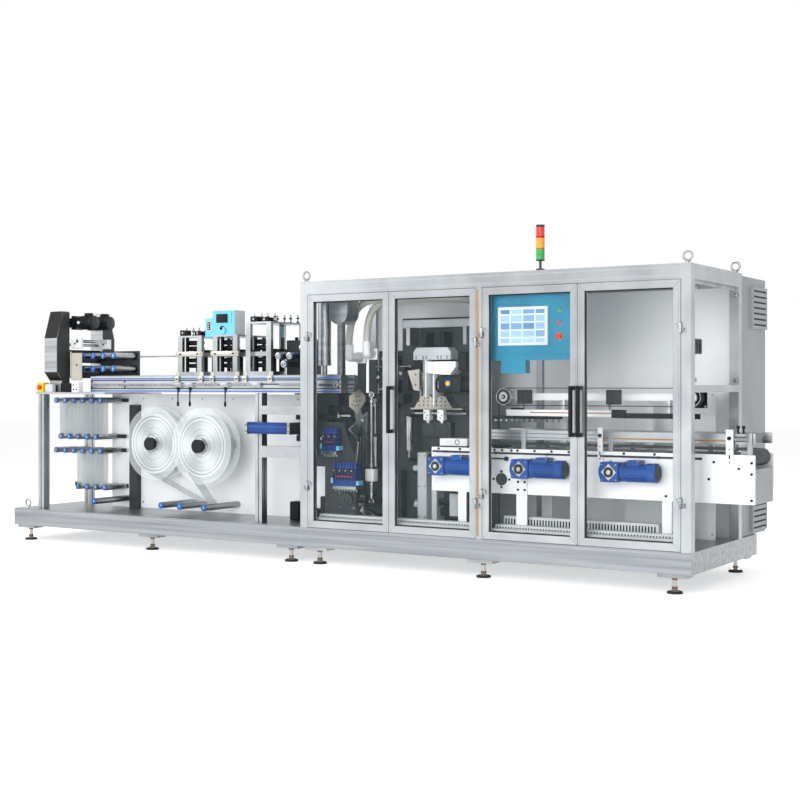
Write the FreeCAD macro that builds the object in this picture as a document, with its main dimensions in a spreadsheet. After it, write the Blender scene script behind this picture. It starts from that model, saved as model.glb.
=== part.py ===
import FreeCAD, Part
import math
import os
import Sketcher

# A packing machine for wet tissues: a film and forming module on the left,
# a guarded packing cabinet on the right, both on one steel base.
# All lengths are millimetres. X runs along the machine, to the outfeed at its
# right end. Y runs from the front to the back, and Z is up from the floor.
# The origin is on the floor, under the middle of the machine.

SIZES = {
    # Overall places
    "right_end": 2595,
    "front": -695,
    "guard_length": 2750,
    "guard_depth": 900,
    "guard_top": 1900,
    "module_length": 2770,
    "running_gap": 0.3,
    # Base
    "base_bottom": 115,
    "base_height": 130,
    "base_depth": 1200,
    "base_rail": 60,
    "deck_thickness": 6,
    "foot_pad_radius": 46,
    "foot_pad_height": 22,
    "foot_stem_radius": 15,
    "foot_plate_length": 180,
    "foot_plate_depth": 100,
    "foot_plate_thickness": 22,
    "foot_inset": 120,
    "foot_row_inset": 60,
    # Lifting eyes
    "eye_outer": 34,
    "eye_inner": 19,
    "eye_thickness": 14,
    "eye_collar_radius": 20,
    "eye_collar_height": 12,
    "eye_sink": 3.5,
    # Guard frame
    "corner_post": 60,
    "middle_post": 40,
    "post_depth": 60,
    "top_beam": 90,
    "sheet": 4,
    "wall_set_back": 30,
    # Doors
    "door_gap": 3,
    "door_stile": 45,
    "door_depth": 40,
    "glass": 6,
    "hinge_radius": 9,
    "hinge_length": 56,
    "hinge_leaf": 27,
    "hinge_height": 250,
    "hinge_stagger": 60,
    "pin_set_off": 10,
    "handle_low": 892,
    "handle_length": 305,
    "handle_radius": 13,
    "handle_reach": 58,
    "handle_foot": 24,
    "handle_foot_width": 21,
    # End panel
    "end_rail_low": 1159,
    "end_rail_height": 43,
    "end_strip": 22,
    "end_knob_radius": 9,
    "end_knob_length": 14,
    "end_knob_inset": 30,
    "switch_set_back": 40,
    "switch_depth": 36,
    "switch_length": 20,
    "switch_height": 90,
    "switch_low": 1380,
    "switch_pitch": 48,
    # Electrical cabinet
    "cabinet_length": 900,
    "cabinet_depth": 490,
    "cabinet_gap": 50,
    "cabinet_low": 245,
    "cabinet_top": 1890,
    "cabinet_inset": 20,
    "louvre_width": 300,
    "louvre_set_back": 171,
    "louvre_proud": 20,
    "louvre_margin": 20,
    "louvre_slot": 12,
    "louvre_pitch": 36,
    "louvre_upper_low": 1565,
    "louvre_lower_low": 262,
    "louvre_upper_slots": 7,
    "louvre_lower_slots": 5,
    # Operator panel and screen. The panel starts beside the end of the
    # middle post, and its pieces are measured from it.
    "panel_from_end": 17,
    "panel_set_back": 72,
    "panel_width": 560,
    "panel_low": 1390,
    "panel_height": 410,
    "panel_depth": 14,
    "panel_rail": 35,
    "panel_hanger": 60,
    "screen_inset": 64,
    "screen_width": 341,
    "screen_low": 1447,
    "screen_height": 238,
    "screen_proud": 10,
    "button_inset": 78,
    "button_radius": 12,
    "button_proud": 8,
    "button_low": 1660,
    "button_pitch": 80,
    "stop_radius": 20,
    "stop_proud": 14,
    "junction_inset": 80,
    "junction_length": 170,
    "junction_height": 80,
    "junction_depth": 60,
    # Signal tower
    "tower_from_end": 966,
    "tower_radius": 27,
    "tower_pole": 9,
    "tower_pole_height": 60,
    "tower_stack": 216,
    "tower_foot_height": 10,
    # Slotted frame of the left module
    "slot_width": 10,
    "slot_depth": 10,
    "end_post_inset": 190,
    "slotted_post": 60,
    "end_post_set_back": 70,
    "second_post_inset": 2304,
    "second_post_set_back": 100,
    "table_plate": 15,
    "table_plate_reach": 730,
    "table_plate_set_back": 45,
    "table_plate_depth": 630,
    "table_low": 1150,
    "table_beam_height": 120,
    "table_beam_width": 80,
    "table_beam_inset": 670,
    "table_front": 150,
    "table_back": 490,
    "table_reach": 230,
    "table_rear_reach": 110,
    "cross_beam_1": 300,
    "cross_beam_2": 900,
    "cross_beam_3": 1800,
    "upper_tie_low": 1000,
    "lower_tie_low": 700,
    "lower_tie_height": 80,
    "back_panel_inset": 510,
    "back_panel_set_back": 550,
    "back_panel_thickness": 12,
    "hung_panel_inset": 2470,
    "hung_panel_set_back": 450,
    "hung_panel_length": 120,
    "hung_panel_low": 700,
    # Film reels
    "reel_inset": 1127,
    "reel_pitch": 600,
    "reel_z": 759,
    "reel_front": 300,
    "reel_stagger": 150,
    "reel_radius": 280,
    "reel_disc": 5,
    "reel_cap_radius": 36,
    "reel_cap": 50,
    "film_width": 100,
    "film_radius": 228,
    "core_radius": 48,
    "core_wall": 14,
    "bore_play": 0.4,
    # Roller bank and its festoon of film
    "bank_inset": 141,
    "bank_roller": 23,
    "bank_front": 300,
    "bank_bar": 30,
    "bank_bar_depth": 20,
    "bank_row_1": 1085,
    "bank_row_2": 800,
    "bank_row_3": 690,
    "bank_row_4": 408,
    "web": 1,
    "web_set_back": 20,
    # Deck and table rollers
    "idler_radius": 24,
    "idler_z": 315,
    "idler_1": 700,
    "idler_2": 1380,
    "idler_3": 1560,
    "idler_4": 1790,
    # Film head over the left end
    "head_inset": 284,
    "head_width": 131,
    "head_front": 45,
    "head_rear": 675,
    "head_depth": 136,
    "head_foot_depth": 81,
    "head_foot_top": 1240,
    "head_nose_low": 1305,
    "head_nose_top": 1567,
    "head_roof": 74,
    "head_top": 1775,
    "head_cross_low": 1655,
    "head_cross_height": 70,
    "head_motor_radius": 52,
    "head_motor_length": 200,
    "head_motor_front": 250,
    "head_motor_pitch": 170,
    "hex_radius": 58,
    "hex_low": 1310,
    "hex_pitch": 120,
    "head_roller_inset": 530,
    "head_roller_pitch": 107,
    "head_roller_low": 1330,
    "head_roller_rise": 100,
    "head_roller_front": 200,
    "head_carrier_back": 440,
    "head_carrier_margin": 40,
    # Forming stations on the table
    "station_1": 1550,
    "station_2": 1880,
    "station_3": 2180,
    "station_1_top": 1563,
    "station_2_top": 1563,
    "station_3_top": 1650,
    "station_width": 225,
    "station_column": 42,
    "station_column_depth": 28,
    "station_shoe": 60,
    "station_bridge_low": 1410,
    "station_bridge": 30,
    "station_cap": 12,
    "lever_length": 110,
    "lever_width": 12,
    "roller_plate_inset": 2430,
    "roller_plate_length": 290,
    "roller_plate_height": 250,
    "roller_plate_back": 300,
    "feed_roller_pitch": 48,
    "feed_roller_low": 1350,
    "feed_roller_rise": 57,
    "small_motor_radius": 36,
    "small_motor_length": 100,
    "small_motor_pitch": 47,
    # Boxes on the second station
    "big_box_width": 200,
    "big_box_depth": 117,
    "big_box_height": 174,
    "display_height": 84,
    "display_width": 148,
    "display_proud": 4,
    "display_margin": 13,
    "knob_radius": 26,
    "knob_length": 16,
    "knob_rise": 31,
    "small_box_width": 70,
    "small_box_height": 132,
    # Blue roller beside the guard
    "blue_roller_radius": 41,
    "blue_roller_set_back": 50,
    "blue_roller_length": 346,
    "blue_roller_z": 906,
    "roller_arm": 20,
    # Conveyor. Its frame and belt start at their reach from the left end of
    # the guard, past the folding gear, and run to the outfeed.
    "lane_front": 220,
    "lane_depth": 350,
    "lane_plate": 12,
    "lane_low": 515,
    "lane_high": 800,
    "frame_reach": 900,
    "belt_reach": 1245,
    "outfeed_reach": 300,
    "belt_axis": 780,
    "belt_radius": 50,
    "belt_thickness": 5,
    "belt_width": 300,
    "belt_end": 60,
    "lane_shaft": 12,
    "window_low": 560,
    "window_height": 90,
    "rail_height": 60,
    "rail_z": 860,
    "rail_stand": 30,
    "leg_width": 60,
    "leg_inset": 200,
    # Overhead belt, whose reach is also from the left end of the guard
    "drive_reach": 1350,
    "drive_end": 130,
    "drive_front": 370,
    "drive_width": 60,
    "drive_radius": 58,
    "drive_z": 1128,
    "drive_beam": 45,
    "drive_plate": 12,
    "drive_column": 40,
    "drive_column_gap": 80,
    # Geared motors
    "motor_radius": 56,
    "motor_length": 170,
    "gearbox": 120,
    "flange_radius": 46,
    "flange_proud": 14,
    "cowl_radius": 58,
    "cowl_length": 60,
    "terminal_inset": 42,
    "terminal_length": 86,
    "terminal_width": 90,
    "terminal_rise": 34,
    "terminal_height": 39,
    "motor_z": 682,
    "first_motor": 40,
    "motor_pitch": 600,
    # Cable ducts and the clipped cable
    "duct_width": 60,
    "duct_front": 70,
    "duct_rear": 140,
    "duct_height": 80,
    "cable_radius": 6,
    "cable_z": 772,
    "clip": 14,
    # Panels inside the guard
    "machine_plate_set_back": 500,
    "machine_plate_thickness": 20,
    "valve_panel_inset": 62,
    "valve_panel_set_back": 200,
    "valve_panel_length": 370,
    "valve_panel_height": 705,
    "service_panel_from_end": 700,
    "service_panel_length": 600,
    "service_panel_set_back": 700,
    "service_panel_height": 932,
    # Tank and hopper
    "tank_inset": 65,
    "tank_radius": 46,
    "tank_low": 1337,
    "tank_height": 473,
    "tank_neck": 20,
    "hopper_inset": 130,
    "hopper_length": 150,
    "hopper_depth": 140,
    "hopper_low": 1690,
    "hopper_height": 110,
    # Valves and the round boss under them
    "boss_radius": 46,
    "boss_proud": 14,
    "valve_width": 22,
    "valve_pitch": 24,
    "valve_depth": 55,
    "valve_base": 15,
    "valve_height": 180,
    "valve_1_inset": 80,
    "valve_1_low": 730,
    "valve_2_inset": 170,
    "valve_2_low": 500,
    # Push rods
    "push_set_back": 420,
    "push_inset": 230,
    "push_pitch": 100,
    "push_low": 390,
    "push_body": 250,
    "push_radius": 24,
    "push_rod": 8,
    "push_stroke": 470,
    "push_step": 230,
    "push_bracket": 20,
    # Linkage in front of the machine plate. Its places run from the guard's
    # left end and from the floor, its layers from the machine plate.
    "link_plate": 12,
    "link_gap": 133,
    "link_pin": 12,
    "link_head": 22,
    "link_rod": 9,
    "arm_pin_x": 270,
    "arm_pin_upper": 960,
    "arm_pin_lower": 440,
    "link_rod_x": 345,
    "link_rod_upper": 1137,
    "link_rod_lower": 406,
    "link_rod_stand_off": 150,
    "link_body_low": 546,
    "link_body_height": 84,
    "link_body_width": 70,
    "link_body_depth": 60,
    "strut_x": 191,
    "strut_low": 389,
    "strut_lean": 59,
    "strut_rise": 458,
    "strut_width": 20,
    "strut_block": 36,
    # Folding gear
    "wheel_radius": 56,
    "servo_motor_radius": 46,
    "servo_motor_length": 60,
    # Hoses and their elbows, which stand at these places from the guard's left end
    "hose_diameter": 50,
    "elbow_radius": 31,
    "elbow_1_x": 159,
    "elbow_1_top": 1481,
    "elbow_2_x": 255,
    "elbow_2_top": 1505,
    "elbow_height": 85,
    "elbow_block": 46,
    "hose_1_y": -345,
    "hose_2_y": -268,
}

# Plain blocks of the folding gear and the deck. Each has its left edge from
# the start of its module, its front from the plane of the doors, its low
# face, and its length, depth and height.
BLOCKS = {
    "carrier": (500, 500, 1150, 650, 20, 510),
    "top_bar": (540, 440, 1590, 580, 60, 55),
    "cover_box": (650, 400, 1375, 290, 100, 80),
    "white_box": (765, 380, 1270, 225, 120, 90),
    "servo": (860, 370, 1152, 170, 130, 110),
    "gripper_plate": (640, 380, 1040, 400, 120, 10),
    "tall_plate": (690, 440, 300, 70, 60, 450),
    "gear_box": (940, 380, 330, 140, 120, 160),
    "boss_plate": (180, 180, 360, 150, 20, 130),
    "stop_box": (195, 50, 1150, 70, 60, 75),
    "terminal_box": (285, 50, 1150, 75, 40, 62),
    "black_box": (440, 60, 1150, 110, 60, 70),
    "white_bracket": (560, 60, 1150, 70, 50, 80),
    "dark_post": (740, 500, 245, 80, 50, 805),
}
BLOCK_FIELDS = ("left", "front", "low", "length", "depth", "height")


class Size:
    """A length that carries its value and the sheet expression that gives it."""

    def __init__(self, value, text):
        self.value = value
        self.text = text

    def __add__(self, other):
        return combine(self, "+", other, self.value + number(other))

    def __sub__(self, other):
        return combine(self, "-", other, self.value - number(other))

    def __mul__(self, other):
        return combine(self, "*", other, self.value * number(other))

    def __truediv__(self, other):
        return combine(self, "/", other, self.value / number(other))

    def __radd__(self, other):
        return combine(other, "+", self, other + self.value)

    def __rsub__(self, other):
        return combine(other, "-", self, other - self.value)

    def __rmul__(self, other):
        return combine(other, "*", self, other * self.value)


def number(value):
    return value.value if isinstance(value, Size) else value


def text(value):
    return value.text if isinstance(value, Size) else repr(value)


def combine(left, sign, right, value):
    return Size(value, "(" + text(left) + " " + sign + " " + text(right) + ")")


def root(value):
    return Size(math.sqrt(number(value)), "sqrt(" + text(value) + ")")


class Sheet:
    """The spreadsheet, whose cells are read as named sizes."""

    def __init__(self, document, values):
        self.values = values
        cells = document.addObject("Spreadsheet::Sheet", "sizes")
        for row, (name, value) in enumerate(values.items(), start=1):
            cells.set("A%d" % row, name)
            cells.set("B%d" % row, str(value))
            cells.setAlias("B%d" % row, name)

    def __getattr__(self, name):
        return Size(self.values[name], "sizes." + name)


for block_name, block_values in BLOCKS.items():
    for field, block_value in zip(BLOCK_FIELDS, block_values):
        SIZES[block_name + "_" + field] = block_value

doc = FreeCAD.newDocument("packing_machine")
s = Sheet(doc, SIZES)
nodes = {}

# How many sides stand for a small round thing that repeats
ROUND = 12

# Where along its carrier each of a few like pieces stands, as shares of its length
RAIL_STANDS = (0.15, 0.5, 0.8)
CABLE_CLIPS = (0.05, 0.25, 0.45, 0.65, 0.85)
PLATE_WINDOWS = 4

TURNS = {
    "X": FreeCAD.Rotation(FreeCAD.Vector(0, 1, 0), 90),
    "Y": FreeCAD.Rotation(FreeCAD.Vector(1, 0, 0), -90),
    "Z": FreeCAD.Rotation(),
}


def bind(item, name, value):
    item.setExpression(name, text(value))


def place(item, x, y, z):
    bind(item, "Placement.Base.x", x)
    bind(item, "Placement.Base.y", y)
    bind(item, "Placement.Base.z", z)
    return item


def box(x, y, z, length, width, height):
    item = doc.addObject("Part::Box", "block")
    bind(item, "Length", length)
    bind(item, "Width", width)
    bind(item, "Height", height)
    return place(item, x, y, z)


def block(name, start):
    """One block of the block list, placed from the start of its module."""
    left, y, low, length, depth, height = [getattr(s, name + "_" + field) for field in BLOCK_FIELDS]
    return box(start + left, s.front + y, low, length, depth, height)


def rod(axis, x, y, z, radius, length):
    """A round bar that starts at x, y, z and runs along the axis."""
    item = doc.addObject("Part::Cylinder", "rod")
    bind(item, "Radius", radius)
    bind(item, "Height", length)
    item.Placement = FreeCAD.Placement(FreeCAD.Vector(), TURNS[axis])
    return place(item, x, y, z)


def prism(axis, sides, x, y, z, radius, length):
    """A bar of flat sides, for what is hexagonal or repeats very often."""
    item = doc.addObject("Part::Prism", "prism")
    item.Polygon = round(sides)
    bind(item, "Circumradius", radius)
    bind(item, "Height", length)
    item.Placement = FreeCAD.Placement(FreeCAD.Vector(), TURNS[axis])
    return place(item, x, y, z)


def join(*pieces):
    item = doc.addObject("Part::MultiFuse", "joined")
    item.Shapes = list(pieces)
    return item


def cut(base, *tools):
    item = doc.addObject("Part::Cut", "cut")
    item.Base = base
    item.Tool = tools[0] if len(tools) == 1 else join(*tools)
    return item


def together(*pieces):
    item = doc.addObject("Part::Compound", "group")
    item.Links = list(pieces)
    return item


def node(name, *pieces):
    """Put pieces into a named sub-part, in which they stay separate solids."""
    nodes.setdefault(name, []).extend(pieces)


def body_sketch(body, role):
    sketch = body.newObject("Sketcher::SketchObject", "sketch")
    plane = [item for item in body.Origin.OriginFeatures if item.Role == role][0]
    sketch.AttachmentSupport = [(plane, "")]
    sketch.MapMode = "FlatFace"
    return sketch


def fix(sketch, kind, geometry, point, value):
    """Bind one place of a sketch, measured from its origin, to a size."""
    index = sketch.addConstraint(Sketcher.Constraint(kind, -1, 1, geometry, point, number(value)))
    sketch.setExpression("Constraints[%d]" % index, text(value))


def outline(sketch, points):
    """A closed outline of straight lines through points bound to sizes."""
    corners = [FreeCAD.Vector(number(x), number(y), 0) for x, y in points]
    first = sketch.GeometryCount
    for index, corner in enumerate(corners):
        sketch.addGeometry(Part.LineSegment(corner, corners[(index + 1) % len(corners)]))
    for index, (x, y) in enumerate(points):
        line = first + index
        following = first + (index + 1) % len(points)
        sketch.addConstraint(Sketcher.Constraint("Coincident", line, 2, following, 1))
        fix(sketch, "DistanceX", line, 1, x)
        fix(sketch, "DistanceY", line, 1, y)


def rectangle(sketch, x, y, width, height):
    outline(sketch, [(x, y), (x + width, y), (x + width, y + height), (x, y + height)])


def pad(body, sketch, length, backwards=False):
    item = body.newObject("PartDesign::Pad", "pad")
    item.Profile = sketch
    item.Reversed = backwards
    bind(item, "Length", length)
    sketch.Visibility = False
    return item


def profile(role, points, length, x, y, z, holes=()):
    """A flat outline padded to a thickness. Holes are rectangles in it."""
    body = doc.addObject("PartDesign::Body", "profile")
    sketch = body_sketch(body, role)
    outline(sketch, points)
    for hole in holes:
        rectangle(sketch, *hole)
    pad(body, sketch, length, backwards=role == "XZ_Plane")
    return place(body, x, y, z)


# Places that several sub-parts share
left_end = s.right_end - s.guard_length
module_end = left_end - s.module_length
back = s.front + s.guard_depth
base_top = s.base_bottom + s.base_height
base_back = s.front + s.base_depth
beam_low = s.guard_top - s.top_beam
pair_width = (s.guard_length - 2 * s.corner_post - s.middle_post) / 2
middle_left = left_end + s.corner_post + pair_width
door_width = (pair_width - 3 * s.door_gap) / 2
door_low = base_top + s.door_gap
door_height = beam_low - s.door_gap - door_low
panel_y = s.front + s.back_panel_set_back
table_top = s.table_low + s.table_beam_height
lane_y = s.front + s.lane_front
lane_back = lane_y + s.lane_depth - s.lane_plate
lane_end = s.right_end + s.outfeed_reach
belt_start = left_end + s.belt_reach
plate_y = s.front + s.machine_plate_set_back


def make_base():
    rails = []
    decks = []
    inner_depth = s.base_depth - 2 * s.base_rail
    inner_front = s.front + s.base_rail
    cross_height = s.base_height - s.deck_thickness
    deck_z = base_top - s.deck_thickness
    for start, length in ((module_end, s.module_length), (left_end, s.guard_length)):
        for y in (s.front, base_back - s.base_rail):
            rails.append(box(start, y, s.base_bottom, length, s.base_rail, s.base_height))
        decks.append(box(start, inner_front, deck_z, length, inner_depth, s.deck_thickness))
        last = start + length - s.base_rail
        for x in (start, start + (length - s.base_rail) / 2, last):
            decks.append(box(x, inner_front, s.base_bottom, s.base_rail, inner_depth, cross_height))
    node("base_long_rails", *rails)
    node("base_deck", *decks)


def foot(x, y):
    plate_z = s.base_bottom - s.foot_plate_thickness
    pad_body = prism("Z", ROUND, x, y, 0, s.foot_pad_radius, s.foot_pad_height)
    stem = prism("Z", 6, x, y, s.foot_pad_height, s.foot_stem_radius, plate_z - s.foot_pad_height)
    plate = box(x - s.foot_plate_length / 2, y - s.foot_plate_depth / 2, plate_z,
                s.foot_plate_length, s.foot_plate_depth, s.foot_plate_thickness)
    return [pad_body, stem, plate]


def make_feet():
    feet = []
    for start, length in ((module_end, s.module_length), (left_end, s.guard_length)):
        for x in (start + s.foot_inset, start + length / 2, start + length - s.foot_inset):
            for y in (s.front + s.foot_row_inset, base_back - s.foot_row_inset):
                feet += foot(x, y)
    node("feet", *feet)


def eye(x, y, z):
    collar = prism("Z", 8, x, y, z, s.eye_collar_radius, s.eye_collar_height)
    ring_y = y - s.eye_thickness / 2
    ring_z = z + s.eye_collar_height + s.eye_outer - s.eye_sink
    ring = cut(prism("Y", ROUND, x, ring_y, ring_z, s.eye_outer, s.eye_thickness),
               prism("Y", ROUND, x, ring_y, ring_z, s.eye_inner, s.eye_thickness))
    return join(collar, ring)


def make_lifting_eyes():
    half = s.corner_post / 2
    places = [(x, y, s.guard_top) for x in (left_end + half, s.right_end - half)
              for y in (s.front + half, back - half)]
    places += [(module_end + s.foot_inset, y, base_top)
               for y in (s.front + s.base_rail / 2, base_back - s.base_rail / 2)]
    node("lifting_eyes", *[eye(*spot) for spot in places])


def make_guard():
    right_post = s.right_end - s.corner_post
    posts = []
    for y in (s.front, back - s.post_depth):
        for x in (left_end, right_post):
            posts.append(box(x, y, base_top, s.corner_post, s.post_depth, s.guard_top - base_top))
        posts.append(box(middle_left, y, base_top, s.middle_post, s.post_depth, beam_low - base_top))
    node("guard_posts", *posts)

    span = s.guard_length - 2 * s.corner_post
    beams = [box(left_end + s.corner_post, y, beam_low, span, s.post_depth, s.top_beam)
             for y in (s.front, back - s.post_depth)]
    node("guard_long_beams", *beams)

    inner_depth = s.guard_depth - 2 * s.post_depth
    inner_front = s.front + s.post_depth
    crosses = [box(x, inner_front, beam_low, width, inner_depth, s.top_beam)
               for x, width in ((left_end, s.corner_post), (middle_left, s.middle_post),
                                (right_post, s.corner_post))]
    crosses.append(box(right_post, inner_front, s.end_rail_low, s.corner_post, inner_depth,
                       s.end_rail_height))
    node("guard_cross_beams", *crosses)

    sheets = []
    wall_y = back - s.wall_set_back
    for x in (left_end + s.corner_post, middle_left + s.middle_post):
        sheets.append(box(x, inner_front, s.guard_top - s.sheet, pair_width, inner_depth, s.sheet))
        sheets.append(box(x, wall_y, base_top, pair_width, s.sheet, beam_low - base_top))
    node("guard_panels", *sheets)


def door_left(index):
    """The left edge of a door, counted from 0 at the left of the machine."""
    pair = index // 2
    start = left_end + s.corner_post + pair * (pair_width + s.middle_post)
    return start + s.door_gap + (index % 2) * (door_width + s.door_gap)


def hinge_pin(index):
    """The place of a door's hinge axis. Doors 1 and 3 hang on their left."""
    edge = door_left(index) - s.door_gap / 2
    x = edge if index % 2 == 0 else edge + door_width + s.door_gap
    return x, s.front - s.pin_set_off


def door_frame(index):
    """One welded frame, open in its middle for the glass."""
    stile = s.door_stile
    hole = (stile, stile, door_width - 2 * stile, door_height - 2 * stile)
    corners = [(0, 0), (door_width, 0), (door_width, door_height), (0, door_height)]
    return profile("XZ_Plane", corners, s.door_depth, door_left(index), s.front, door_low, [hole])


def knuckles(index, on_door):
    """Round hinge barrels about the pin, with their leaves on one side."""
    x, y = hinge_pin(index)
    to_right = on_door == (index % 2 == 0)
    length = s.hinge_length / 2 - s.running_gap
    pieces = []
    low_hinge = door_low + s.hinge_height
    high_hinge = door_low + door_height - s.hinge_height - s.hinge_length
    if index == 1:
        low_hinge = low_hinge - s.hinge_stagger
        high_hinge = high_hinge - s.hinge_stagger
    for low in (low_hinge, high_hinge):
        start = low + s.hinge_length / 2 + s.running_gap if on_door else low
        barrel = prism("Z", 8, x, y, start, s.hinge_radius, length)
        leaf_x = x if to_right else x - s.hinge_leaf
        pieces.append(join(barrel, box(leaf_x, y, start, s.hinge_leaf, s.pin_set_off, length)))
    return pieces


def make_doors():
    post_leaves = []
    for index in range(4):
        name = "door_%d" % (index + 1)
        node(name + "_frame", join(door_frame(index), *knuckles(index, True)))
        post_leaves += knuckles(index, False)
        left = door_left(index) + s.door_stile
        low = door_low + s.door_stile
        node(name + "_glass", box(left, s.front + (s.door_depth - s.glass) / 2, low,
                                  door_width - 2 * s.door_stile, s.glass,
                                  door_height - 2 * s.door_stile))
        if index != 0:
            make_handle(name, index)
    node("hinge_leaves", *post_leaves)


def make_handle(name, index):
    hung_left = index % 2 == 0
    edge = door_left(index) + (door_width - s.door_stile / 2 if hung_left else s.door_stile / 2)
    grip_y = s.front - s.handle_reach + s.handle_radius
    grip = prism("Z", ROUND, edge, grip_y, s.handle_low, s.handle_radius, s.handle_length)
    feet = [box(edge - s.handle_foot_width / 2, grip_y, z, s.handle_foot_width, s.front - grip_y,
                s.handle_foot)
            for z in (s.handle_low, s.handle_low + s.handle_length - s.handle_foot)]
    node(name + "_handle", join(grip, *feet))


def make_end_panel():
    y = s.front + s.post_depth
    depth = s.guard_depth - 2 * s.post_depth
    low = s.end_rail_low + s.end_rail_height
    x = s.right_end - s.corner_post / 2
    face = x + s.glass
    node("end_panel_glass", box(x, y, low, s.glass, depth, beam_low - low))
    fittings = [box(face, y, beam_low - s.end_strip, s.sheet, depth, s.end_strip)]
    for spot in (y + s.end_knob_inset, y + depth - s.end_knob_inset):
        for z in (low + s.end_knob_inset, beam_low - s.end_strip - s.end_knob_inset):
            fittings.append(prism("X", 6, face, spot, z, s.end_knob_radius, s.end_knob_length))
    for index in range(2):
        switch_y = y + s.switch_set_back + index * s.switch_pitch
        fittings.append(box(face, switch_y, s.switch_low, s.switch_length, s.switch_depth,
                            s.switch_height))
    node("end_panel_fittings", *fittings)


def louvre_unit(face, side, low, slots):
    """A raised panel with a row of air slots."""
    height = s.louvre_margin * 2 + (slots - 1) * s.louvre_pitch + s.louvre_slot
    panel = box(face, side, low, s.louvre_proud, s.louvre_width, height)
    gaps = [box(face + s.louvre_proud / 2, side + s.louvre_margin,
                low + s.louvre_margin + index * s.louvre_pitch, s.louvre_proud / 2,
                s.louvre_width - 2 * s.louvre_margin, s.louvre_slot)
            for index in range(int(number(slots)))]
    return cut(panel, *gaps)


def make_electrical_cabinet():
    x = s.right_end - s.cabinet_inset - s.cabinet_length
    y = back + s.cabinet_gap
    housing = box(x, y, s.cabinet_low, s.cabinet_length, s.cabinet_depth, s.cabinet_top - s.cabinet_low)
    face = s.right_end - s.cabinet_inset
    side = y + s.louvre_set_back
    units = [louvre_unit(face, side, s.louvre_upper_low, s.louvre_upper_slots),
             louvre_unit(face, side, s.louvre_lower_low, s.louvre_lower_slots)]
    node("electrical_cabinet", join(housing, *units))


def make_operator_panel():
    rail_x = middle_left + s.middle_post
    x = rail_x + s.panel_from_end
    y = s.front + s.panel_set_back
    panel_top = s.panel_low + s.panel_height
    pieces = [box(x, y, s.panel_low, s.panel_width, s.panel_depth, s.panel_height)]
    for spot in (x, x + s.panel_width - s.panel_hanger):
        hanger_y = s.front + s.post_depth - s.panel_depth
        pieces.append(box(spot, hanger_y, panel_top, s.panel_hanger, y + s.panel_depth - hanger_y,
                          beam_low - panel_top))
    rail_low = s.panel_low - s.panel_rail
    pieces.append(box(rail_x, y, rail_low, x + s.panel_width - rail_x, s.panel_depth, s.panel_rail))
    button_x = x + s.panel_width - s.button_inset
    for index, (radius, proud) in enumerate(((s.button_radius, s.button_proud),
                                             (s.button_radius, s.button_proud),
                                             (s.stop_radius, s.stop_proud))):
        z = s.button_low - index * s.button_pitch
        pieces.append(prism("Y", ROUND, button_x, y - proud, z, radius, proud))
    pieces.append(box(x + s.junction_inset, y, rail_low - s.junction_height, s.junction_length,
                      s.junction_depth, s.junction_height))
    node("control_panel", *pieces)
    node("screen", box(x + s.screen_inset, y - s.screen_proud, s.screen_low,
                       s.screen_width, s.screen_proud, s.screen_height))


def make_signal_tower():
    x = s.right_end - s.tower_from_end
    y = s.front + s.post_depth / 2
    low = s.guard_top
    foot_ring = prism("Z", ROUND, x, y, low, s.tower_radius, s.tower_foot_height)
    pole = prism("Z", ROUND, x, y, low + s.tower_foot_height, s.tower_pole,
                 s.tower_pole_height - s.tower_foot_height)
    stack = prism("Z", 2 * ROUND, x, y, low + s.tower_pole_height, s.tower_radius, s.tower_stack)
    node("signal_tower", join(foot_ring, pole, stack))


def slotted_beam(x, y, z, length, width, height):
    """A long square section with a groove down the middle of each face."""
    groove = s.slot_width
    deep = s.slot_depth
    beam = box(x, y, z, length, width, height)
    middle_z = z + (height - groove) / 2
    middle_y = y + (width - groove) / 2
    grooves = [box(x, y, middle_z, length, deep, groove),
               box(x, y + width - deep, middle_z, length, deep, groove),
               box(x, middle_y, z, length, groove, deep),
               box(x, middle_y, z + height - deep, length, groove, deep)]
    return cut(beam, *grooves)


def slotted_post(x, y, z, height):
    width = s.slotted_post
    groove = s.slot_width
    deep = s.slot_depth
    post = box(x, y, z, width, width, height)
    middle_x = x + (width - groove) / 2
    middle_y = y + (width - groove) / 2
    grooves = [box(middle_x, y, z, groove, deep, height),
               box(middle_x, y + width - deep, z, groove, deep, height),
               box(x, middle_y, z, deep, groove, height),
               box(x + width - deep, middle_y, z, deep, groove, height)]
    return cut(post, *grooves)


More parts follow.
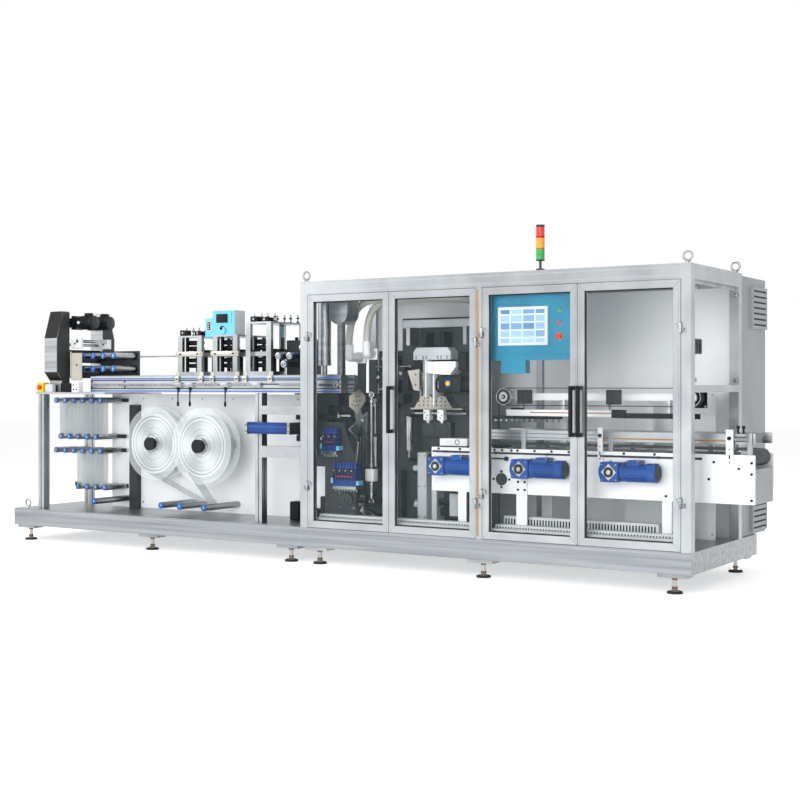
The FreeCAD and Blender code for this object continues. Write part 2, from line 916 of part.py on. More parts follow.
def make_table():
    x = module_end + s.end_post_inset
    y = s.front + s.end_post_set_back
    plate_low = s.table_low - s.table_plate
    end_height = plate_low - base_top
    second_x = module_end + s.second_post_inset
    second_y = s.front + s.second_post_set_back
    posts = [slotted_post(x, y, base_top, end_height),
             slotted_post(x, panel_y + s.back_panel_thickness, base_top, end_height),
             slotted_post(second_x, second_y, base_top, s.table_low - base_top),
             slotted_post(second_x, panel_y + s.back_panel_thickness, base_top,
                          s.table_low - base_top)]
    node("slotted_frame", *posts)

    beam_x = module_end + s.table_beam_inset
    beams = [slotted_beam(beam_x, s.front + offset, s.table_low, left_end + reach - beam_x,
                          s.table_beam_width, s.table_beam_height)
             for offset, reach in ((s.table_front, s.table_reach),
                                   (s.table_back, s.table_rear_reach))]
    node("slotted_frame", *beams)

    cross_y = s.front + s.table_front + s.table_beam_width
    cross_depth = s.table_back - s.table_front - s.table_beam_width
    width = s.table_beam_width
    crosses = [box(beam_x + spot, cross_y, s.table_low, width, cross_depth, s.table_beam_height)
               for spot in (s.cross_beam_1, s.cross_beam_2, s.cross_beam_3)]
    tie_x = second_x + s.slotted_post
    crosses += [box(tie_x, second_y, s.upper_tie_low, left_end - tie_x, s.slotted_post,
                    s.slotted_post),
                box(tie_x, second_y, s.lower_tie_low, left_end - tie_x, s.slotted_post,
                    s.lower_tie_height)]
    node("table_cross_beams", *crosses)

    panel_x = module_end + s.back_panel_inset
    panel_length = second_x + s.slotted_post - panel_x
    node("left_back_panel", box(panel_x, panel_y, base_top, panel_length,
                                s.back_panel_thickness, plate_low - base_top))
    plate = box(x, s.front + s.table_plate_set_back, plate_low, s.table_plate_reach,
                s.table_plate_depth, s.table_plate)
    node("table_cross_beams", plate)
    stop = block("stop_box", module_end)
    stop_x = module_end + s.stop_box_left + s.stop_box_length / 2
    stop_y = s.front + s.stop_box_front - s.stop_proud
    button = prism("Y", ROUND, stop_x, stop_y, s.stop_box_low + s.stop_box_height / 2,
                   s.stop_radius, s.stop_proud)
    node("table_fittings", join(stop, button), block("terminal_box", module_end),
         block("black_box", module_end), block("white_bracket", module_end))
    hung_x = module_end + s.hung_panel_inset
    node("dark_panels", block("dark_post", module_end),
         box(hung_x, s.front + s.hung_panel_set_back, s.hung_panel_low, s.hung_panel_length,
             s.back_panel_thickness, s.table_low - s.hung_panel_low))


def make_reels():
    shafts = []
    radius = s.reel_cap_radius
    hole = s.core_radius - s.core_wall
    for index in range(2):
        x = module_end + s.reel_inset + index * s.reel_pitch
        y = s.front + s.reel_front - index * s.reel_stagger
        z = s.reel_z
        name = "reel_%d" % (index + 1)
        disc_y = y + s.reel_cap
        film_y = disc_y + s.reel_disc
        core_length = s.film_width + 2 * s.reel_disc
        discs = [rod("Y", x, spot, z, s.reel_radius, s.reel_disc)
                 for spot in (disc_y, film_y + s.film_width)]
        core = prism("Y", 2 * ROUND, x, disc_y, z, s.core_radius, core_length)
        bore = prism("Y", 2 * ROUND, x, disc_y, z, hole + s.bore_play, core_length)
        node(name + "_spool", cut(join(core, *discs), bore))
        roll = rod("Y", x, film_y, z, s.film_radius, s.film_width)
        hollow = prism("Y", 2 * ROUND, x, film_y, z, s.core_radius, s.film_width)
        node(name + "_film", cut(roll, hollow))
        cap = prism("Y", 2 * ROUND, x, y, z, radius + s.core_wall, s.reel_cap - s.running_gap)
        shaft = prism("Y", ROUND, x, y, z, hole, panel_y - y)
        collar_y = disc_y + core_length + s.running_gap
        collar = prism("Y", ROUND, x, collar_y, z, s.core_radius, panel_y - collar_y)
        shafts.append(join(cap, shaft, collar))
    node("reel_shafts", *shafts)


def bank_x(row, index):
    """The rollers of rows 1 and 3 hang over those of rows 2 and 4, so that
    each upright strip of film touches one roller above and one below."""
    strip = s.web + 2 * s.running_gap
    half_pitch = 2 * s.bank_roller + strip
    skipped = (0, 1, 0, 5)[row]
    return module_end + s.bank_inset + half_pitch * (skipped + 2 * index)


def make_roller_bank():
    rollers = []
    bars = []
    strips = []
    rows = (s.bank_row_1, s.bank_row_2, s.bank_row_3, s.bank_row_4)
    counts = (6, 5, 6, 4)
    y = s.front + s.bank_front
    bar_y = panel_y - s.bank_bar_depth
    for row, (row_z, count) in enumerate(zip(rows, counts)):
        for index in range(count):
            rollers.append(prism("Y", ROUND, bank_x(row, index), y, row_z, s.bank_roller,
                                 bar_y - y))
        start = bank_x(0, 0) - s.bank_roller
        reach = bank_x(3, 3) + s.bank_roller - start
        bars.append(box(start, bar_y, row_z - s.bank_bar / 2, reach, s.bank_bar_depth, s.bank_bar))
    node("bank_rollers", *rollers)
    node("roller_carriers", *bars)
    strip_y = y + s.web_set_back
    for upper, first in ((0, 0), (2, 2)):
        for index in range(first, 5):
            for side in (0, 1):
                x = bank_x(upper, index + side) - s.bank_roller - s.running_gap - s.web
                if side == 0:
                    x = bank_x(upper, index) + s.bank_roller + s.running_gap
                low = rows[upper + 1]
                strips.append(box(x, strip_y, low, s.web, s.film_width, rows[upper] - low))
    strips += [leaving_film(0, s.idler_3), leaving_film(1, s.idler_4)]
    node("film_web", *strips)


def leaving_film(index, idler_inset):
    """The film between a reel and its idler. It starts where the line to the
    idler touches the roll of film on its left side."""
    x = module_end + s.reel_inset + index * s.reel_pitch
    y = s.front + s.reel_front - index * s.reel_stagger + s.reel_cap + s.reel_disc + s.web
    radius = s.film_radius + s.running_gap + s.web
    end_x = module_end + idler_inset
    end_z = s.idler_z + s.idler_radius + s.running_gap
    along = end_x - x
    down = end_z - s.reel_z
    square = along * along + down * down
    reach = root(square - radius * radius)
    touch_x = x + (radius * radius * along + radius * reach * down) / square
    touch_z = s.reel_z + (radius * radius * down - radius * reach * along) / square
    strip = [(touch_x, touch_z), (touch_x + s.web, touch_z), (end_x + s.web, end_z), (end_x, end_z)]
    return profile("XZ_Plane", strip, s.film_width - 2 * s.web, 0, y, 0)


def make_idlers():
    rollers = []
    stands = []
    for inset in (s.idler_1, s.idler_2, s.idler_3, s.idler_4):
        x = module_end + inset
        y = s.front + s.reel_front - s.reel_stagger
        rollers.append(prism("Y", ROUND, x, y, s.idler_z, s.idler_radius, panel_y - y))
    carrier_y = s.front + s.head_carrier_back
    for index in range(4):
        for rise in (0, 1):
            x = module_end + s.head_roller_inset + index * s.head_roller_pitch
            y = s.front + s.head_roller_front
            z = s.head_roller_low + rise * s.head_roller_rise
            rollers.append(prism("Y", ROUND, x, y, z, s.idler_radius, carrier_y - y))
    plate_back = s.front + s.roller_plate_back
    x = module_end + s.roller_plate_inset + s.head_carrier_margin
    y = s.front + s.table_front
    for step, rise in ((0, 1), (1, 0), (2, 1)):
        z = s.feed_roller_low + rise * s.feed_roller_rise
        rollers.append(prism("Y", ROUND, x + step * s.feed_roller_pitch, y, z, s.idler_radius,
                             plate_back - y))
    node("idler_rollers", *rollers)
    margin = s.head_carrier_margin
    carrier_x = module_end + s.head_roller_inset - margin
    stands.append(box(carrier_x, carrier_y, s.table_low, 3 * s.head_roller_pitch + 2 * margin,
                      s.bank_bar_depth, s.head_roller_low + s.head_roller_rise + margin - s.table_low))
    stands.append(box(module_end + s.roller_plate_inset, plate_back, table_top,
                      s.roller_plate_length, s.back_panel_thickness, s.roller_plate_height))
    node("roller_carriers", *stands)


def make_head():
    x = module_end + s.head_inset
    low = s.table_low
    front = s.head_front
    rear = s.head_rear
    inner = front + s.head_depth
    rear_inner = rear - s.head_depth
    foot_front = inner - s.head_foot_depth
    foot_back = rear_inner + s.head_foot_depth
    front_shape = [(inner, low), (inner, s.head_top), (inner - s.head_roof, s.head_top),
                   (front, s.head_nose_top), (front, s.head_nose_low), (foot_front, s.head_foot_top),
                   (foot_front, low)]
    rear_shape = [(rear_inner, low), (foot_back, low), (foot_back, s.head_foot_top),
                  (rear, s.head_nose_low), (rear, s.head_nose_top),
                  (rear_inner + s.head_roof, s.head_top), (rear_inner, s.head_top)]
    node("head_housings", profile("YZ_Plane", front_shape, s.head_width, x, s.front, 0),
         profile("YZ_Plane", rear_shape, s.head_width, x, s.front, 0))
    span = rear_inner - inner
    gears = [box(x, s.front + inner, s.head_cross_low, s.head_width, span, s.head_cross_height)]
    axis_z = s.head_cross_low + s.head_cross_height / 2
    for index in range(2):
        y = s.front + s.head_motor_front + index * s.head_motor_pitch
        gears.append(prism("X", 2 * ROUND, x + s.head_width, y, axis_z, s.head_motor_radius,
                           s.head_motor_length))
    crosses = [prism("Y", 6, x + s.head_width / 2, s.front + inner, s.hex_low + index * s.hex_pitch,
                     s.hex_radius, span) for index in range(2)]
    node("head_gear", *gears, *crosses)


def station(inset, top):
    """Two pairs of columns over the table beams under one cap, with a bridge
    between the pairs and a clamp shoe under the front one."""
    x = module_end + inset
    width = s.station_width
    front_y = s.front + s.table_front
    rear_y = s.front + s.table_back + s.table_beam_width - s.station_column_depth
    rear_side = rear_y + s.station_column_depth
    bridge_y = front_y + s.station_column_depth
    pieces = []
    for y, foot_z in ((front_y, table_top + s.station_bridge), (rear_y, table_top)):
        for spot in (x, x + width - s.station_column):
            pieces.append(box(spot, y, foot_z, s.station_column, s.station_column_depth,
                              top - s.station_cap - foot_z))
    pieces.append(box(x, front_y, top - s.station_cap, width, rear_side - front_y, s.station_cap))
    pieces.append(box(x, bridge_y, s.station_bridge_low, width, rear_y - bridge_y, s.station_bridge))
    overhang = s.station_column / 2
    pieces.append(box(x - overhang, front_y, table_top, width + 2 * overhang, s.table_beam_width,
                      s.station_bridge))
    return pieces


def make_stations():
    for inset, top in ((s.station_1, s.station_1_top), (s.station_2, s.station_2_top),
                       (s.station_3, s.station_3_top)):
        node("forming_stations", *station(inset, top))

    levers = []
    lever_y = s.front + s.table_front - s.lever_width
    for inset in (s.station_1, s.station_1 + s.station_width / 2, s.station_2 + s.station_width / 2):
        x = module_end + inset
        levers.append(box(x, lever_y, s.table_low - s.lever_length, s.lever_width, s.lever_width,
                          s.lever_length + s.station_shoe))
    motor_x = module_end + s.roller_plate_inset + s.roller_plate_length - s.head_carrier_margin
    y = s.front + s.roller_plate_back
    for index in range(2):
        z = s.feed_roller_low + (index + 1) * s.feed_roller_rise
        levers.append(prism("Y", ROUND, motor_x - index * s.small_motor_pitch,
                            y - s.small_motor_length, z, s.small_motor_radius,
                            s.small_motor_length))
    node("table_fittings", *levers)

    x = module_end + s.station_2
    y = s.front + s.table_front
    top = s.station_2_top
    big = box(x + s.running_gap, y, top, s.big_box_width, s.big_box_depth, s.big_box_height)
    display_z = top + s.big_box_height - s.display_height - s.display_margin
    display = box(x + (s.big_box_width - s.display_width) / 2, y - s.display_proud, display_z,
                  s.display_width, s.display_proud, s.display_height)
    knob = prism("Y", ROUND, x + s.big_box_width / 2, y - s.knob_length, top + s.knob_rise,
                 s.knob_radius, s.knob_length)
    small = box(x - s.small_box_width, y, top - s.station_cap, s.small_box_width, s.big_box_depth,
                s.small_box_height)
    node("control_boxes", join(big, display, knob), small)


def make_blue_roller():
    x = module_end + s.second_post_inset + s.running_gap
    y = s.front + s.blue_roller_set_back
    z = s.blue_roller_z
    length = s.blue_roller_length
    arm = s.roller_arm
    radius = s.blue_roller_radius
    node("blue_roller", prism("X", 2 * ROUND, x, y, z, radius, length))
    left_arm = box(x - s.running_gap - arm, y - radius, z - radius, arm,
                   s.second_post_set_back + s.slotted_post - s.blue_roller_set_back + radius,
                   2 * radius)
    right_x = x + length + s.running_gap
    beam_back = s.table_front + s.table_beam_width
    right_arm = join(box(right_x, y - radius, z - radius, arm,
                         beam_back - s.blue_roller_set_back + radius, 2 * radius),
                     box(right_x, s.front + beam_back - 2 * arm, z, arm, 2 * arm, s.table_low - z))
    node("table_cross_beams", left_arm, right_arm)


def side_plate(x, y, length):
    height = s.lane_high - s.lane_low
    window_z = s.window_low - s.lane_low
    share = length / PLATE_WINDOWS
    holes = [(share * index + share / 4, window_z, share / 2, s.window_height)
             for index in range(PLATE_WINDOWS)]
    corners = [(0, 0), (length, 0), (length, height), (0, height)]
    return profile("XZ_Plane", corners, s.lane_plate, x, y, s.lane_low, holes)


def belt_loop(left, right, y, z, radius, thickness, width):
    """A flat belt about two equal rollers."""
    def stadium(size):
        return join(box(left, y, z - size, right - left, width, 2 * size),
                    rod("Y", left, y, z, size, width), rod("Y", right, y, z, size, width))
    return cut(stadium(radius), stadium(radius - thickness))


def rail_stand_x(share):
    """The left edge of a stand of the guide rails, which run as far as the belt."""
    belt_left = belt_start + s.belt_end
    return belt_left + share * (lane_end - s.belt_end - belt_left)


def make_conveyor():
    start = left_end + s.frame_reach
    length = lane_end - start
    span = s.lane_depth - 2 * s.lane_plate
    inner_y = lane_y + s.lane_plate
    tie_height = s.belt_axis - s.belt_radius - s.lane_plate - s.lane_low
    ties = [box(x, inner_y, s.lane_low, s.lane_plate, span, tie_height)
            for x in (belt_start, lane_end - s.lane_plate)]
    belt_left = belt_start + s.belt_end
    belt_right = lane_end - s.belt_end
    inner_radius = s.belt_radius - s.belt_thickness
    belt_y = lane_y + (s.lane_depth - s.belt_width) / 2
    rollers = [join(prism("Y", 2 * ROUND, x, belt_y, s.belt_axis, inner_radius - s.running_gap,
                          s.belt_width),
                    prism("Y", ROUND, x, inner_y, s.belt_axis, s.lane_shaft, span))
               for x in (belt_left, belt_right)]
    node("conveyor_frame", side_plate(start, lane_y, length), side_plate(start, lane_back, length),
         *ties)
    node("idler_rollers", *rollers)
    node("conveyor_belt", belt_loop(belt_left, belt_right, belt_y, s.belt_axis, s.belt_radius,
                                    s.belt_thickness, s.belt_width))
    rails = []
    rail_length = belt_right - belt_left
    thickness = belt_y - inner_y
    for spot, plate in ((inner_y, lane_y), (belt_y + s.belt_width, lane_back)):
        rails.append(box(belt_left, spot, s.rail_z, rail_length, thickness, s.rail_height))
        for share in RAIL_STANDS:
            rails.append(box(rail_stand_x(share), plate, s.lane_high, s.rail_stand,
                             s.lane_plate, s.rail_z + s.rail_height - s.lane_high))
    node("guide_rails", *rails)
    legs = []
    for x in (start + s.leg_inset, s.right_end - s.leg_inset - s.leg_width):
        for spot in (lane_y, lane_back):
            legs.append(box(x, spot, base_top, s.leg_width, s.lane_plate, s.lane_low - base_top))
    node("conveyor_frame", *legs)


def make_overhead_belt():
    left = left_end + s.drive_reach
    right = s.right_end - s.drive_end
    y = s.front + s.drive_front
    inner = s.drive_radius - s.belt_thickness
    node("overhead_belt", belt_loop(left, right, y, s.drive_z, s.drive_radius, s.belt_thickness,
                                    s.drive_width))
    beam_y = y + s.drive_width + s.drive_plate
    beam_z = s.drive_z - s.drive_beam / 2
    pieces = [box(left, beam_y, beam_z, right - left, s.drive_plate, s.drive_beam)]
    for x in (left, right):
        pieces.append(prism("Y", 2 * ROUND, x, y, s.drive_z, inner - s.running_gap,
                            s.drive_width + s.drive_plate))
    arm_y = beam_y + s.drive_plate
    for share in RAIL_STANDS[:2]:
        x = rail_stand_x(share) + s.rail_stand + s.drive_column_gap
        pieces.append(box(x, arm_y, beam_z, s.drive_column, lane_back - arm_y, s.drive_plate))
        pieces.append(box(x, lane_back, s.lane_high, s.drive_column, s.lane_plate,
                          beam_z + s.drive_plate - s.lane_high))
    node("overhead_frame", *pieces)


def geared_motor(x):
    """A gearbox on the side plate, with a flange at its left and a motor with
    a terminal box and a fan cowl at its right."""
    y = lane_y - s.gearbox
    z = s.motor_z
    half = s.gearbox / 2
    gears = box(x, y, z - half, s.gearbox, s.gearbox, s.gearbox)
    flange = prism("X", ROUND, x - s.flange_proud, y + half, z, s.flange_radius, s.flange_proud)
    motor = prism("X", 2 * ROUND, x + s.gearbox, y + half, z, s.motor_radius, s.motor_length)
    cowl = prism("X", 2 * ROUND, x + s.gearbox + s.motor_length, y + half, z, s.cowl_radius,
                 s.cowl_length)
    terminals = box(x + s.gearbox + s.terminal_inset, y + half - s.terminal_width / 2,
                    z + s.terminal_rise, s.terminal_length, s.terminal_width, s.terminal_height)
    return join(gears, flange, motor, cowl, terminals)


def make_motors():
    """As many motors as find room on the side plate at their pitch."""
    start = left_end + s.frame_reach + s.first_motor
    room = lane_end - start - s.gearbox - s.motor_length - s.cowl_length
    count = 1 + int(number(room) // number(s.motor_pitch))
    node("geared_motors", *[geared_motor(start + index * s.motor_pitch) for index in range(count)])


def make_ducts():
    margin = s.corner_post
    length = pair_width - margin
    ducts = []
    for start in (left_end + margin, middle_left + margin):
        ducts.append(box(start, s.front + s.duct_front, base_top, length, s.duct_width,
                         s.duct_width))
        ducts.append(box(start, s.front + s.duct_rear, base_top, length, s.duct_width,
                         s.duct_height))
    node("cable_ducts", *ducts)
    start = left_end + s.frame_reach + s.clip
    length = s.right_end - s.clip - start
    y = lane_y - s.cable_radius
    cable = prism("X", 6, start, y, s.cable_z, s.cable_radius, length)
    clips = [box(start + share * length, lane_y - s.clip, s.cable_z - s.clip / 2, s.clip, s.clip,
                 s.clip) for share in CABLE_CLIPS]
    node("clipped_cable", join(cable, *clips))


def make_inner_panels():
    x = left_end + s.corner_post
    height = s.table_low - base_top
    main = box(x, plate_y, base_top, belt_start - x, s.machine_plate_thickness, height)
    valve = box(left_end + s.valve_panel_inset, s.front + s.valve_panel_set_back, base_top,
                s.valve_panel_length, s.sheet, s.valve_panel_height)
    service = box(s.right_end - s.service_panel_from_end, s.front + s.service_panel_set_back,
                  base_top, s.service_panel_length, s.sheet, s.service_panel_height)
    node("guard_panels", main, valve, service)


def valve_bank(inset, low, count):
    """A manifold bar that carries a row of narrow valves."""
    x = left_end + inset
    y = s.front + s.valve_panel_set_back - s.valve_base
    width = (count - 1) * s.valve_pitch + s.valve_width
    pieces = [box(x, y, low, width, s.valve_base, s.valve_height)]
    for index in range(count):
        pieces.append(box(x + index * s.valve_pitch, y - s.valve_depth, low, s.valve_width,
                          s.valve_depth, s.valve_height))
    return join(*pieces)


def make_valves():
    boss = block("boss_plate", left_end)
    boss_x = left_end + s.boss_plate_left + s.boss_plate_length / 2
    boss_z = s.boss_plate_low + s.boss_plate_height / 2
    proud = prism("Y", 2 * ROUND, boss_x, s.front + s.boss_plate_front - s.boss_proud, boss_z,
                  s.boss_radius, s.boss_proud)
    node("valve_blocks", valve_bank(s.valve_1_inset, s.valve_1_low, 5),
         valve_bank(s.valve_2_inset, s.valve_2_low, 8), join(boss, proud))


def make_tank():
    y = s.front + s.table_front + s.table_beam_width / 2
    x = left_end + s.tank_inset
    body = prism("Z", 2 * ROUND, x, y, s.tank_low, s.tank_radius, s.tank_height)
    stem = prism("Z", ROUND, x, y, table_top, s.tank_neck, s.tank_low - table_top)
    left = left_end + s.hopper_inset
    hopper_y = s.front + s.table_front
    half = s.hopper_length / 2
    upper = box(left, hopper_y, s.hopper_low, s.hopper_length, s.hopper_depth, s.hopper_height)
    round_base = prism("Y", 2 * ROUND, left + half, hopper_y, s.hopper_low, half, s.hopper_depth)
    leg = box(left + half - s.tank_neck, y - s.tank_neck, table_top, 2 * s.tank_neck,
              2 * s.tank_neck, s.hopper_low - table_top)
    node("tank", body, stem, join(upper, round_base, leg))


def make_push_rods():
    pieces = []
    y = s.front + s.push_set_back
    for index in range(3):
        x = left_end + s.push_inset + index * s.push_pitch
        low = s.push_low + (index % 2) * s.push_step
        body = prism("Z", ROUND, x, y, low, s.push_radius, s.push_body)
        shaft = prism("Z", 6, x, y, low + s.push_body, s.push_rod, s.push_stroke - s.push_body)
        reach = plate_y - y + s.push_radius
        feet = [box(x - s.push_radius, y - s.push_radius, z, 2 * s.push_radius, reach,
                    s.push_bracket)
                for z in (low - s.push_bracket, low + s.push_stroke)]
        pieces += [body, shaft, *feet]
    node("push_rods", *pieces)


# The outlines of the rocking arm and of the bracket on its head, each point
# from the arm's upper pin
ARM = ((38, 63), (-121, -62), (-20, -157), (-46, -543), (22, -540), (27, -157))
ARM_BRACKET = ((-25, 216), (27, 168), (27, 133), (-36, -45), (-105, 97), (-105, 167))


def make_linkage():
    """A rocking arm on two pins, a connecting rod with a round head at each
    end, and a leaning strut from its own pin to a block on the arm."""
    arm_back = plate_y - s.link_gap
    arm_front = arm_back - s.link_plate
    pin_x = left_end + s.arm_pin_x
    pieces = []
    for z in (s.arm_pin_upper, s.arm_pin_lower):
        pieces.append(prism("Y", ROUND, pin_x, arm_back, z, s.link_pin, s.link_gap))
        pieces.append(prism("Y", 6, pin_x, arm_front - s.link_plate, z, s.link_pin, s.link_plate))
    for points, face in ((ARM, arm_back), (ARM_BRACKET, arm_front)):
        pieces.append(profile("XZ_Plane", points, s.link_plate, pin_x, face - s.link_plate,
                              s.arm_pin_upper))

    rod_x = left_end + s.link_rod_x
    rod_y = plate_y - s.link_rod_stand_off
    head_back = rod_y + s.link_plate
    heads = []
    for z in (s.link_rod_upper, s.link_rod_lower):
        heads.append(prism("Y", ROUND, rod_x, rod_y - s.link_plate, z, s.link_head, 2 * s.link_plate))
        pieces.append(prism("Y", ROUND, rod_x, head_back, z, s.link_pin, plate_y - head_back))
    bar = prism("Z", ROUND, rod_x, rod_y, s.link_rod_lower, s.link_rod,
                s.link_rod_upper - s.link_rod_lower)
    body = box(rod_x - s.link_body_width / 2, rod_y - s.link_body_depth / 2, s.link_body_low,
               s.link_body_width, s.link_body_depth, s.link_body_height)
    pieces.append(join(bar, body, *heads))

    strut_x = left_end + s.strut_x
    strut_back = arm_front - s.link_plate
    half = s.strut_width / 2
    strut = ((-1 * half, 0), (half, 0), (s.strut_lean + half, s.strut_rise),
             (s.strut_lean - half, s.strut_rise))
    pieces.append(profile("XZ_Plane", strut, s.link_plate, strut_x, strut_back - s.link_plate,
                          s.strut_low))
    block_x = strut_x + s.strut_lean - s.strut_block / 2
    pieces.append(box(block_x, strut_back, s.strut_low + s.strut_rise - s.strut_block,
                      s.strut_block, s.link_plate, s.strut_block))
    pieces.append(box(strut_x - half, strut_back, s.strut_low, s.strut_width, plate_y - strut_back,
                      s.strut_width))
    node("link_arms", *pieces)


def make_folding_head():
    shaft_x = left_end + s.tall_plate_left + s.tall_plate_length
    shaft_length = s.gear_box_left - s.tall_plate_left - s.tall_plate_length
    wheel_y = plate_y - s.wheel_radius - s.running_gap
    wheel_z = s.tall_plate_low + s.tall_plate_height - s.wheel_radius
    wheel = prism("X", 2 * ROUND, shaft_x, wheel_y, wheel_z, s.wheel_radius, shaft_length)
    servo = block("servo", left_end)
    servo_end = left_end + s.servo_left + s.servo_length
    servo_y = s.front + s.servo_front + s.servo_depth / 2
    servo_z = s.servo_low + s.servo_height / 2
    servo_motor = prism("X", ROUND, servo_end, servo_y, servo_z, s.servo_motor_radius,
                        s.servo_motor_length)
    node("folding_head", block("carrier", left_end), block("top_bar", left_end),
         block("cover_box", left_end), block("white_box", left_end), join(servo, servo_motor),
         block("gripper_plate", left_end), join(block("tall_plate", left_end), wheel),
         block("gear_box", left_end))


def make_elbows():
    pieces = []
    radius = s.elbow_radius
    for inset, y, top in ((s.elbow_1_x, s.hose_1_y, s.elbow_1_top),
                          (s.elbow_2_x, s.hose_2_y, s.elbow_2_top)):
        x = left_end + inset
        low = top - s.elbow_height
        back_y = plate_y + s.machine_plate_thickness
        spout = prism("Z", 2 * ROUND, x, y, low, radius, s.elbow_height)
        bend = box(x - radius, y, low - radius, 2 * radius, back_y - y, s.elbow_block)
        column = box(x - radius, plate_y, s.table_low, 2 * radius, s.machine_plate_thickness,
                     low - radius - s.table_low)
        pieces += [join(spout, bend), column]
    node("guard_panels", *pieces)


# The free hoses, from their elbows to the back wall of the guard
HOSE_1 = [(4, -345, 1481), (4, -345, 1590), (80, -345, 1765), (290, -345, 1797),
          (600, -345, 1795), (840, -260, 1786), (882, 0, 1783), (882, 175, 1783)]
HOSE_2 = [(100, -268, 1505), (100, -268, 1672), (225, -268, 1787), (530, -268, 1790),
          (735, -170, 1786), (764, 5, 1783), (764, 175, 1783)]


def hose(name, places, diameter):
    """A hose of six flat sides along straight runs joined by tangent arcs."""
    points = [FreeCAD.Vector(*place_) for place_ in places]
    edges = []
    radii = []
    start = points[0]
    for before, corner, after in zip(points, points[1:], points[2:]):
        first = (before - corner).normalize()
        last = (after - corner).normalize()
        half_turn = (math.pi - first.getAngle(last)) / 2
        trim = 0.45 * min(before.distanceToPoint(corner), corner.distanceToPoint(after))
        radius = trim / math.tan(half_turn)
        enter = corner + first * trim
        leave = corner + last * trim
        towards = (first + last).normalize()
        middle = corner + towards * (radius / math.cos(half_turn) - radius)
        edges.append(Part.LineSegment(start, enter).toShape())
        edges.append(Part.Arc(enter, middle, leave).toShape())
        radii.append(round(radius))
        start = leave
    edges.append(Part.LineSegment(start, points[-1]).toShape())
    path = Part.Wire(edges)
    along = (points[1] - points[0]).normalize()
    section = Part.makeCircle(diameter / 2, points[0], along)
    rim = [section.Curve.value(index * math.pi / 3) for index in range(6)]
    sides = Part.makePolygon(rim + rim[:1])
    solid = path.makePipeShell([sides], True, False)
    expected = Part.Face(sides).Area * path.Length
    print(name, "length", round(path.Length), "radii", radii, "volume share",
          round(solid.Volume / expected, 4))
    item = doc.addObject("Part::Feature", name)
    item.Shape = solid
    node(name, item)


def check_and_write():
    named = []
    for name, pieces in nodes.items():
        item = pieces[0] if len(pieces) == 1 else together(*pieces)
        item.Label = name
        named.append(item)
    doc.recompute()
    for item in doc.Objects:
        if "Invalid" in item.State or "Error" in item.State:
            raise RuntimeError("failed: " + item.Label + " " + str(item.State))
    os.makedirs("parts", exist_ok=True)
    for item in named:
        shape = item.Shape
        if shape.isNull() or not shape.isValid() or not shape.Solids:
            raise RuntimeError("bad shape: " + item.Label)
    for item in named:
        item.Shape.exportStep("parts/" + item.Label + ".step")
    print("nodes", len(named))


make_base()
make_feet()
make_lifting_eyes()
make_guard()
make_doors()
make_end_panel()
make_electrical_cabinet()
make_operator_panel()
make_signal_tower()
make_table()
make_reels()
make_roller_bank()
make_idlers()
make_head()
make_stations()
make_blue_roller()
make_conveyor()
make_overhead_belt()
make_motors()
make_ducts()
make_inner_panels()
make_valves()
make_tank()
make_push_rods()
make_linkage()
make_folding_head()
make_elbows()
hose("vent_hose_1", HOSE_1, SIZES["hose_diameter"])
hose("vent_hose_2", HOSE_2, SIZES["hose_diameter"])
check_and_write()
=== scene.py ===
import bpy
import math
from mathutils import Matrix, Vector


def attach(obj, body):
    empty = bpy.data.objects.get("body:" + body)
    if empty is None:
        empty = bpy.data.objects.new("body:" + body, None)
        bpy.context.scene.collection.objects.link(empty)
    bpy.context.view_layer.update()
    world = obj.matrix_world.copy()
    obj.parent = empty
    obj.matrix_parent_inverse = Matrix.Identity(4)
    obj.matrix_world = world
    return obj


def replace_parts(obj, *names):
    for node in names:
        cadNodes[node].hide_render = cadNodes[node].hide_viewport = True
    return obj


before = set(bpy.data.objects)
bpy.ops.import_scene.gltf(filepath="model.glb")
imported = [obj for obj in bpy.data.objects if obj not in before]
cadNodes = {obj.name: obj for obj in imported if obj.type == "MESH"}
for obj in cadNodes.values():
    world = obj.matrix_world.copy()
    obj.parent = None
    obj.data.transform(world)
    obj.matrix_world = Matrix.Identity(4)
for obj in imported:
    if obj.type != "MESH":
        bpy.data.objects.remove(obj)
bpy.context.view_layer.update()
bpy.ops.object.select_all(action='DESELECT')
print("frame loaded", len(cadNodes))


# small helpers for objects

def pick(*objs):
    bpy.ops.object.select_all(action='DESELECT')
    for item in objs:
        item.select_set(True)
    bpy.context.view_layer.objects.active = objs[-1]


def settle(item):  # place, turn and size go into the mesh
    pick(item)
    bpy.ops.object.transform_apply(location=True, rotation=True, scale=True)
    return item


def block(low, high, bevel=0.0, segments=1):
    size = [high[i] - low[i] for i in range(3)]
    bpy.ops.mesh.primitive_cube_add(size=1, location=[(low[i] + high[i]) / 2 for i in range(3)])
    item = bpy.context.object
    item.scale = size
    settle(item)
    if bevel:
        bpy.ops.object.mode_set(mode='EDIT')
        bpy.ops.mesh.select_all(action='SELECT')
        bpy.ops.mesh.bevel(offset=bevel, segments=segments, affect='EDGES')
        bpy.ops.object.mode_set(mode='OBJECT')
    return item


quarter = math.pi / 2
turnTo = {"X": (0, quarter, 0), "-X": (0, -quarter, 0), "Y": (-quarter, 0, 0),
          "-Y": (quarter, 0, 0), "Z": (0, 0, 0), "-Z": (2 * quarter, 0, 0)}


